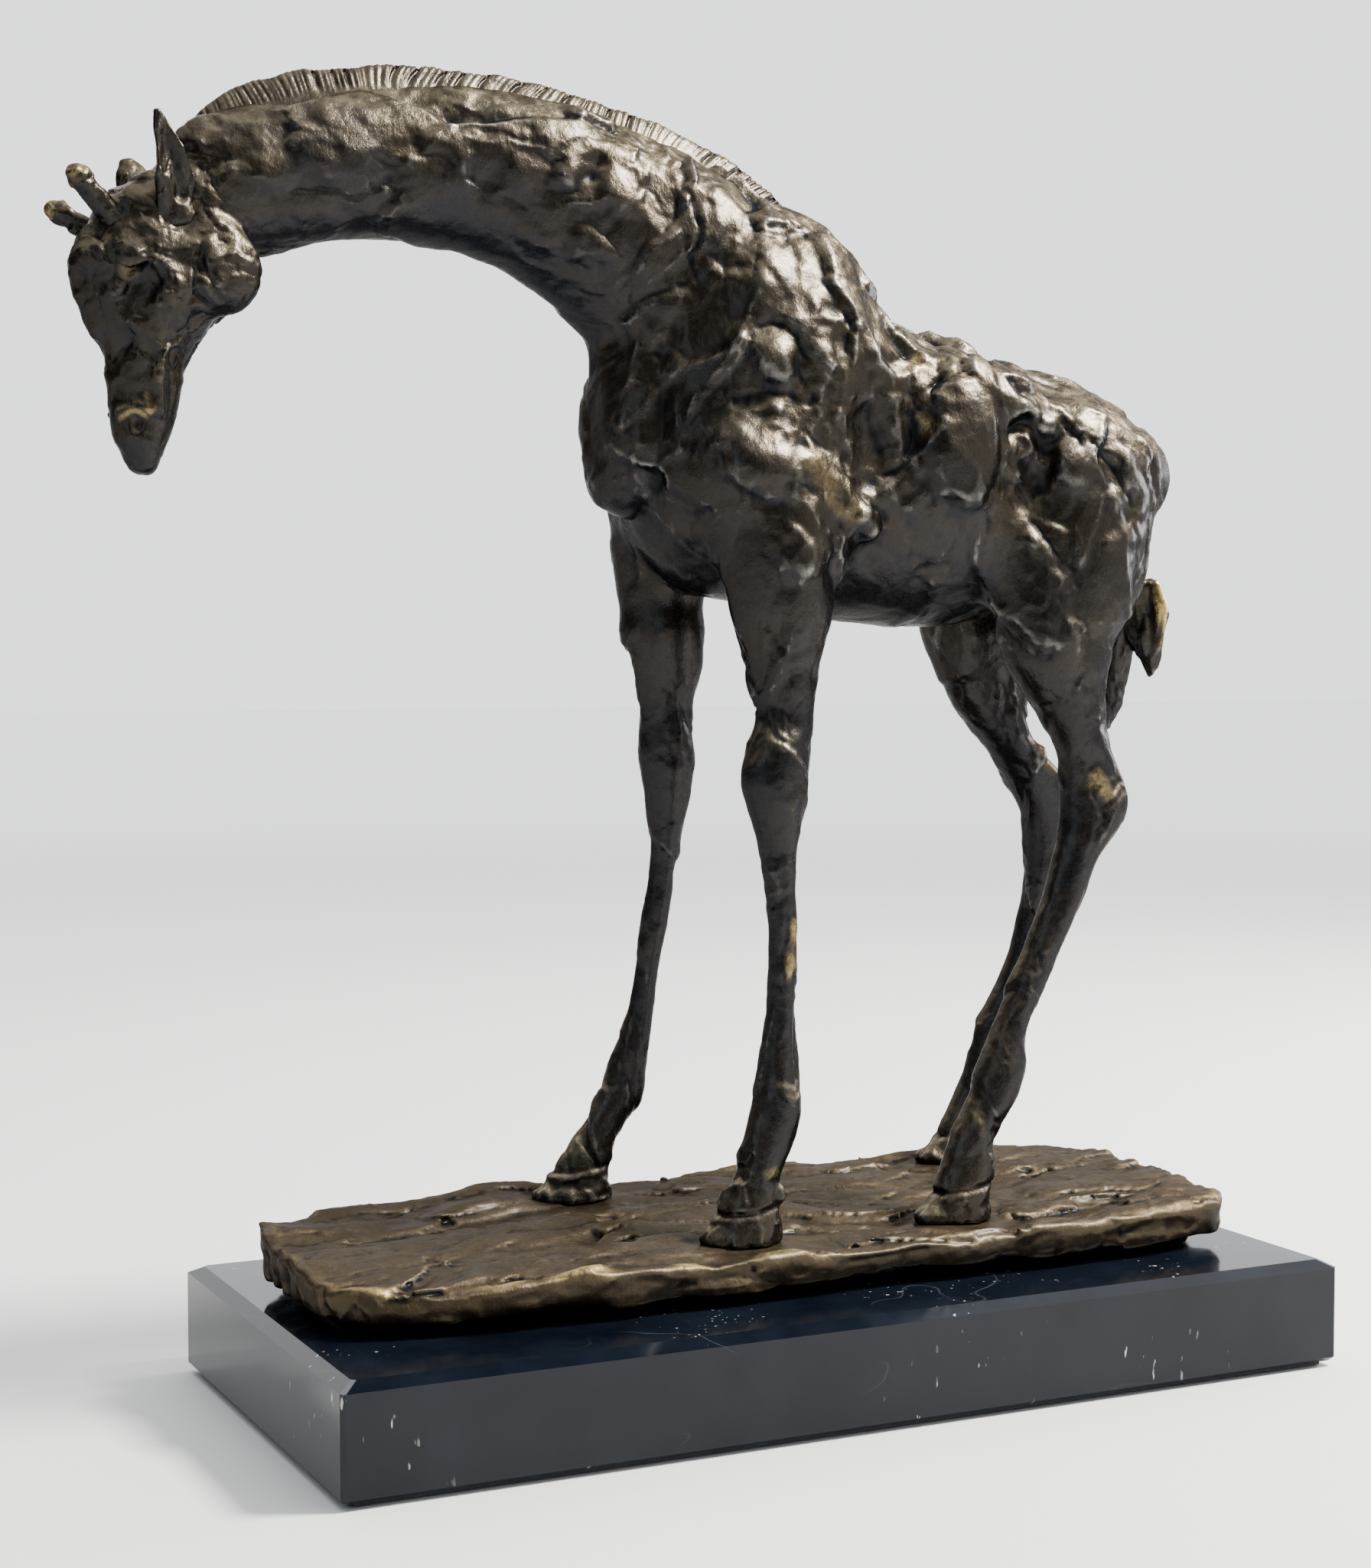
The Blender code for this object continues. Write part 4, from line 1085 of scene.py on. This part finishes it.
def make_mane():
    """A thin wall along the crest of the neck, scored across with a comb on both sides."""
    table = np.array(NECK[:9], float)
    run = np.concatenate([[0], np.cumsum(np.hypot(np.diff(table[:, 0]), np.diff(table[:, 2])))])
    at = np.arange(4.0, run[-1] + 9.0, MANE_PITCH)
    px, py, pz, depth = (smooth_curve(run, table[:, k], at) for k in range(4))
    px, pz = px + np.maximum(at - run[-1], 0) * 0.76, pz - np.maximum(at - run[-1], 0) * 0.65
    ahead = np.stack([np.gradient(px), np.gradient(pz)])
    ahead /= np.hypot(*ahead)
    ends = step(0, 24, at - at[0]) * step(0, 22, at[-1] - at)

    def along(size, seed, offset=0.0):
        """Noise along the mane."""
        return noise(np.stack([at, at * 0 + offset, at * 0], 1), size, seed)

    cuts = {side: comb_cuts(at[-1], seed) for side, seed in ((-1, 21), (1, 22))}
    lean = 0.6 * along(19, 35) - 0.25
    section_line = [(-w, h) for w, h in MANE_SECTION] + [(w, h) for w, h in reversed(MANE_SECTION)]
    fine = np.array([np.interp(np.linspace(0, 13, 40), range(14), column) for column in zip(*section_line)])
    columns = []
    sway = along(14, 31)
    for half, height in fine.T:
        side = -1 if half < 0 else 1
        shown = step(-2.0, 0.5, height)
        score = cuts[side](at + lean * height * 1.2 + 0.6 * sway) * shown
        width = half * (0.62 + 0.38 * ends) - side * score * 0.85 + 0.5 * sway * shown
        rise = height - 0.7 * score * step(2.0, 5.0, height)
        rise = np.where(height > 0, rise * (0.18 + 0.82 * ends) - 1.4 * (1 - ends), rise)
        rise = rise + 0.7 * along(5, 33, height) * shown * step(0, 5, height)
        out = depth + rise - 0.4
        columns.append(np.stack([px - ahead[1] * out, py + width, pz + ahead[0] * out], 1))
    ring_piece("mane", np.stack(columns, 1))


def taper_frame(base, tip, flat, hand):
    """Unit vectors along an ear, across its leaf, and out of the leaf on the hand's side of the head."""
    ahead = np.array(tip, float) - base
    ahead /= np.linalg.norm(ahead)
    side = np.array(flat, float) - ahead * np.dot(flat, ahead)
    side /= np.linalg.norm(side)
    out = np.cross(ahead, side)
    return ahead, side, out if out[1] * hand > 0 else -out


# Ears: foot, tip, rough direction across the leaf, and the side of the head, -1 or 1
EARS = {
    "ear_left": ((-173.0, -7.5, 320.0), (-179.5, -13.0, 345.0), (0.95, 0.3, 0.2), -1),
    "ear_right": ((-172.5, 6.5, 319.0), (-180.0, 16.5, 337.0), (0.9, 0.2, 0.3), 1),
}
# The place along each ear, from 0 to 1, and its half width there
EAR_WIDTHS = {
    "ear_left": ((0.0, 6.2), (0.15, 6.0), (0.4, 5.4), (0.65, 4.0), (0.85, 2.3), (1.0, 1.0)),
    "ear_right": ((0.0, 4.0), (0.2, 4.6), (0.5, 5.6), (0.75, 5.4), (0.9, 4.2), (1.0, 2.4)),
}
EAR_CUP, EAR_WALL = 2.6, 1.5


def leaf_form(base, tip, flat, hand, widths):
    """A leaf cupped away from the head."""
    ahead, side, out = taper_frame(base, tip, flat, hand)
    length = np.linalg.norm(np.subtract(tip, base))
    places, halves = np.array(widths).T

    def distance(x, y, z):
        dx, dy, dz = x - base[0], y - base[1], z - base[2]
        t = dx * ahead[0] + dy * ahead[1] + dz * ahead[2]
        u = dx * side[0] + dy * side[1] + dz * side[2]
        v = dx * out[0] + dy * out[1] + dz * out[2]
        part = np.clip(t / length, 0, 1)
        half = np.interp(part, places, halves)
        v = v - 1.6 * np.sin(math.pi * part) - EAR_CUP * np.sin(math.pi * part) * ((u / half) ** 2 - 0.5)
        wall = EAR_WALL * (1.9 - part)
        beyond = np.maximum(t - length, -t).clip(0)
        return section(u, v, half, wall, beyond, 0.8)

    return distance


def ear_relief(points, normals):
    """Pinched folds that run along the ear, over small dabs."""
    folds = slabs(points * (1, 1, 0.45) + noise(points, 5, 46)[:, None], 3.6, 44, 0.4)
    return 0.4 * folds + 0.3 * noise(points, 3.0, 45), np.zeros(len(points))


def make_ears():
    """Leaf-shaped ears, cupped towards the front, with a broad root and pinched folds."""
    for name, (base, tip, flat, hand) in EARS.items():
        root, along = np.array(base), np.subtract(tip, base)
        corners = np.array([base, tip])
        field = Field(corners.min(0) - 8, corners.max(0) + 8, 0.36)
        field.add(leaf_form(base, tip, flat, hand, EAR_WIDTHS[name]))
        field.add(rod_form((*root, 4.6), (*(root + along * 0.3), 2.8)), 4.0)
        _, _, out = taper_frame(base, tip, flat, hand)
        foot, top = root + along * 0.22 + out * 4.6, root + along * 0.78 + out * 2.2
        field.carve(rod_form((*foot, 2.0), (*top, 0.7)), 1.2)
        sculpt(name.replace("ear", "leaf_ear"), field, ear_relief, name)


# Horns: foot and tip, and the radius at places along them from 0 to 1
HORNS = {
    "ossicone_left": ((-185.5, -4.2, 315.5), (-199.5, -8.5, 329.0)),
    "ossicone_right": ((-186.0, 5.2, 313.5), (-201.0, 10.0, 322.5)),
}


HORN_RADII = ((0.0, 4.6), (0.18, 3.7), (0.45, 3.0), (0.7, 2.7), (0.8, 3.0), (0.9, 3.25), (0.985, 2.7))


def make_horns():
    """Short horns with a narrow waist and a blunt knob that is rubbed bright."""
    for name, (base, tip) in HORNS.items():
        base, tip = np.array(base), np.array(tip)
        knots = [(*(base + (tip - base) * place), radius) for place, radius in HORN_RADII]
        corners = np.array([base, tip])
        field = Field(corners.min(0) - 6, corners.max(0) + 6, 0.33)
        field.add(rod_form(*knots))
        ahead = (tip - base) / np.linalg.norm(tip - base)

        def relief(points, normals, ahead=ahead, tip=tip):
            along = (points - tip) @ ahead
            rubbed = step(-3.0, -0.5, along) * 0.35
            lumps = 0.45 * slabs(points, 3.6, 41, 0.4) + 0.2 * noise(points, 2.0, 42)
            from_dimple = ((points - tip - ahead * 2.2) ** 2).sum(1)
            return lumps - 0.8 * np.exp(-from_dimple / 2.2), rubbed * step(-0.4, 0.3, lumps)

        sculpt(name.replace("ossicone", "horn"), field, relief, name)


def make_tail():
    """A tail that leaves the rump in two twisted locks of hair."""
    field = Field((112, -6, 181), (144, 24, 250), 0.5)
    strands = (
        ((134, -1.5, 229, 2.6), (136.5, -2, 220, 3.0), (136, -1, 211, 2.2), (137.5, 0, 204, 1.0)),
        ((129, 9, 214, 2.6), (127.5, 13, 204, 2.6), (128.5, 16, 194, 2.0), (129, 17, 188, 1.2)),
    )
    field.add(level_form(TAIL, 1.5))
    field.add(level_form(TAIL_LOCK, 1.5), 2.0)
    for strand in strands:
        field.add(rod_form(*strand), 1.2)

    def relief(points, normals):
        x, _, z = points.T
        twisted = points + 1.5 * np.stack([np.sin(z / 6), np.cos(z / 6), 0 * z], 1)
        hairs = 0.9 * dabs(twisted * (1, 1, 0.22), 2.6, 51) + 0.5 * noise(twisted * (1, 1, 0.15), 1.6, 52)
        shine = step(208, 218, z) * step(234, 228, z) * step(131, 135, x)
        return hairs + 0.4 * noise(points, 7, 53), shine * step(-0.3, 0.5, hairs)

    sculpt("tail", field, relief, "tail_casting")


# ---- ground slab ---------------------------------------------------------------------------


def slab_outline(x, y):
    """Distance in plan to the slab's outline, a rectangle with round corners, below 0 inside."""
    power = np.where(x > GROUND_CENTRE[0], GROUND_CORNERS[1], GROUND_CORNERS[0])
    u = np.abs(x - GROUND_CENTRE[0]) / GROUND_HALF[0] + 1e-6
    v = np.abs(y - GROUND_CENTRE[1]) / GROUND_HALF[1] + 1e-6
    reach = (u**power + v**power) ** (1 / power)
    slope = np.hypot(u ** (power - 1) / GROUND_HALF[0], v ** (power - 1) / GROUND_HALF[1])
    return (reach - 1) / (slope * reach ** (1 - power))


def slab_top(x, y):
    """Height of the slab's top: long waves of drawn clay over a gentle rise to the far side."""
    flat = np.stack(np.broadcast_arrays(x, y, 0.0 * x), -1).reshape(-1, 3)
    flow = flat.copy()
    flow[:, 1] += 5.0 * np.sin(flat[:, 0] / 31) + 3 * noise(flat, 24, 61)
    waves = 2.1 * slabs(flow * (0.34, 1, 1), 13.0, 62, 0.45) + 1.6 * noise(flat, 40, 64)
    waves = waves + 0.9 * slabs(flow * (0.4, 1.1, 1), 7.0, 63, 0.4)
    height = GROUND_MIDDLE + GROUND_SLOPE * flat[:, 1] + waves * hoof_clearance(flat) - 0.2
    return height.reshape(np.broadcast(x, y).shape)


def hoof_clearance(flat):
    """0.25 close to a hoof and 1 away from it, so that each hoof stands on level ground."""
    calm = np.ones(len(flat))
    for stations, _ in LEGS.values():
        _, x, y, half_x, half_y = stations[-1]
        reach = np.hypot((flat[:, 0] - x) / (half_x + 2), (flat[:, 1] - y) / (half_y + 2))
        calm = np.minimum(calm, 0.25 + 0.75 * step(0.9, 1.6, reach))
    return calm


# How far the slab's side lies inside its outline at each level: undercut below, upright above
SLAB_INSET = ((31.0, 10.0), (33.6, 9.2), (34.6, 3.0), (35.6, 1.2), (38.0, 0.4), (44.0, 0.0), (60.0, 0.0))


def slab_form(x, y, z):
    """The slab: under its top, within its side, with a narrow rounding where they meet."""
    top = z - slab_top(x, y)
    side = slab_outline(x, y) + np.interp(z.ravel(), *zip(*SLAB_INSET))
    return np.maximum(-smooth_min(-side, -top, 1.8), GROUND_LOW - z)


def slab_relief(points, normals):
    """Cracked, torn clay round the edge, and thin scratches and pits on the top."""
    x, y, z = points.T
    edge = step(0.75, 0.3, normals[:, 2]) * step(33.5, 35.5, z)
    torn = 1.1 * slabs(points * (0.35, 1, 0.8), 8, 71, 0.25) + 1.4 * noise(points, 22, 73)
    torn = torn + 0.4 * slabs(points * (0.6, 1, 1), 4.5, 72, 0.25)
    calm = hoof_clearance(points * (1, 1, 0))
    top = 0.5 * step(-0.2, 0.6, noise(points, 15, 77)) * dabs(points, 5, 74, (2.4, 1, 1))
    top = top + 0.12 * noise(points, 1.8, 75)
    rim = np.exp(-((slab_outline(x, y) + 2.2) / 1.4) ** 2) * step(41, 44, z)
    broken = step(-0.25, 0.35, noise(points, 9, 76))
    bright = step(-20, -44, y) * step(30, -60, x)
    depth = edge * torn + (1 - edge) * top * calm + rim * broken * 0.25
    gilt = rim * broken * (0.08 + 0.7 * bright) + 0.3 * edge * step(0.5, 1.0, torn / 1.5) * bright
    return np.where(z < 34.0, 0.0, depth), np.clip(gilt, 0, 1)


def make_slab():
    """The ground that the giraffe stands on."""
    field = Field((-148, -50, 30), (144, 54, 53), 0.8)
    field.add(slab_form, 0.01)
    sculpt("ground_slab", field, slab_relief, "ground_casting", GROUND_BRONZE)


# ---- build ---------------------------------------------------------------------------------

make_torso()
make_neck()
make_head()
make_legs()
make_mane()
make_ears()
make_horns()
make_tail()
make_slab()

ZINC = zinc_material()
CARRIED = {"marble": marble_material(), "felt": felt_material(), "stud": ZINC, "washer": ZINC, "nut": ZINC}
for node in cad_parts.values():
    if not node.hide_render:
        node.data.materials.clear()
        node.data.materials.append(CARRIED[node.name.split("_")[0]])


def soften_plinth():
    """Hand-polished edges on the plinth."""
    bevel = bpy.data.objects["marble_plinth"].modifiers.new("polished_edges", "BEVEL")
    bevel.width, bevel.segments = ARRIS * MM, 3
    bevel.limit_method, bevel.angle_limit = "ANGLE", math.radians(30)


def make_stage():
    """A pale floor that fades into the room before its edge can be seen."""
    s = Shader(bpy.data.materials.new("paper"))
    far = s.node("ShaderNodeVectorMath", {"operation": "LENGTH"}, _0=s.place).outputs["Value"]
    fade = s.ramp(far, 0.7, 3.0, kind="SMOOTHSTEP")
    s.surface.inputs["Roughness"].default_value = 0.8
    s.set(s.surface.inputs["Emission Color"], (*ROOM_COLOUR, 1.0))
    s.set(s.surface.inputs["Emission Strength"], s.math("MULTIPLY", fade, 0.93 * ROOM_LIGHT))
    s.set(s.surface.inputs["Base Color"], s.mix(fade, (0.58, 0.575, 0.565), (0, 0, 0)))
    s.set(s.surface.inputs["Specular IOR Level"], s.ramp(fade, 0, 1, 0.5, 0.0))
    mesh = bpy.data.meshes.new("floor")
    signs = (-1, -1), (1, -1), (1, 1), (-1, 1)
    mesh.from_pydata([(x * FLOOR_HALF, y * FLOOR_HALF, FLOOR_LEVEL) for x, y in signs], [], [range(4)])
    mesh.materials.append(s.material)
    floor = bpy.data.objects.new("floor", mesh)
    bpy.context.collection.objects.link(floor)


def make_lights():
    """Disk lamps aimed at the legs, in a room whose bright side is above and to the right."""
    for name, place, size, power, colour in LAMPS:
        data = bpy.data.lights.new(name, "AREA")
        data.shape, data.size, data.energy, data.color = "DISK", size, power, colour
        lamp = bpy.data.objects.new(name, data)
        lamp.location = place
        lamp.rotation_euler = (Vector(LAMP_TARGET) - Vector(place)).to_track_quat("-Z", "Y").to_euler()
        bpy.context.collection.objects.link(lamp)
    world = bpy.data.worlds.new("room")
    s = Shader(world, "Background")
    turned = s.node("ShaderNodeVectorMath", {"operation": "DOT_PRODUCT"}, _0=s.coordinates["Generated"],
                    _1=BRIGHT_SIDE).outputs["Value"]
    s.surface.inputs["Color"].default_value = (*ROOM_COLOUR, 1.0)
    s.set(s.surface.inputs["Strength"], s.ramp(turned, -0.3, 0.45, 0.10, ROOM_LIGHT, "SMOOTHSTEP"))
    bpy.context.scene.world = world


def make_camera():
    data = bpy.data.cameras.new("camera")
    data.lens = CAMERA_LENS
    data.clip_start = 0.01
    camera = bpy.data.objects.new("camera", data)
    camera.location = CAMERA_PLACE
    camera.rotation_euler = (math.radians(90 - CAMERA_DROP), 0, math.radians(CAMERA_AZIMUTH))
    bpy.context.collection.objects.link(camera)
    bpy.context.scene.camera = camera


soften_plinth()
make_stage()
make_lights()
make_camera()
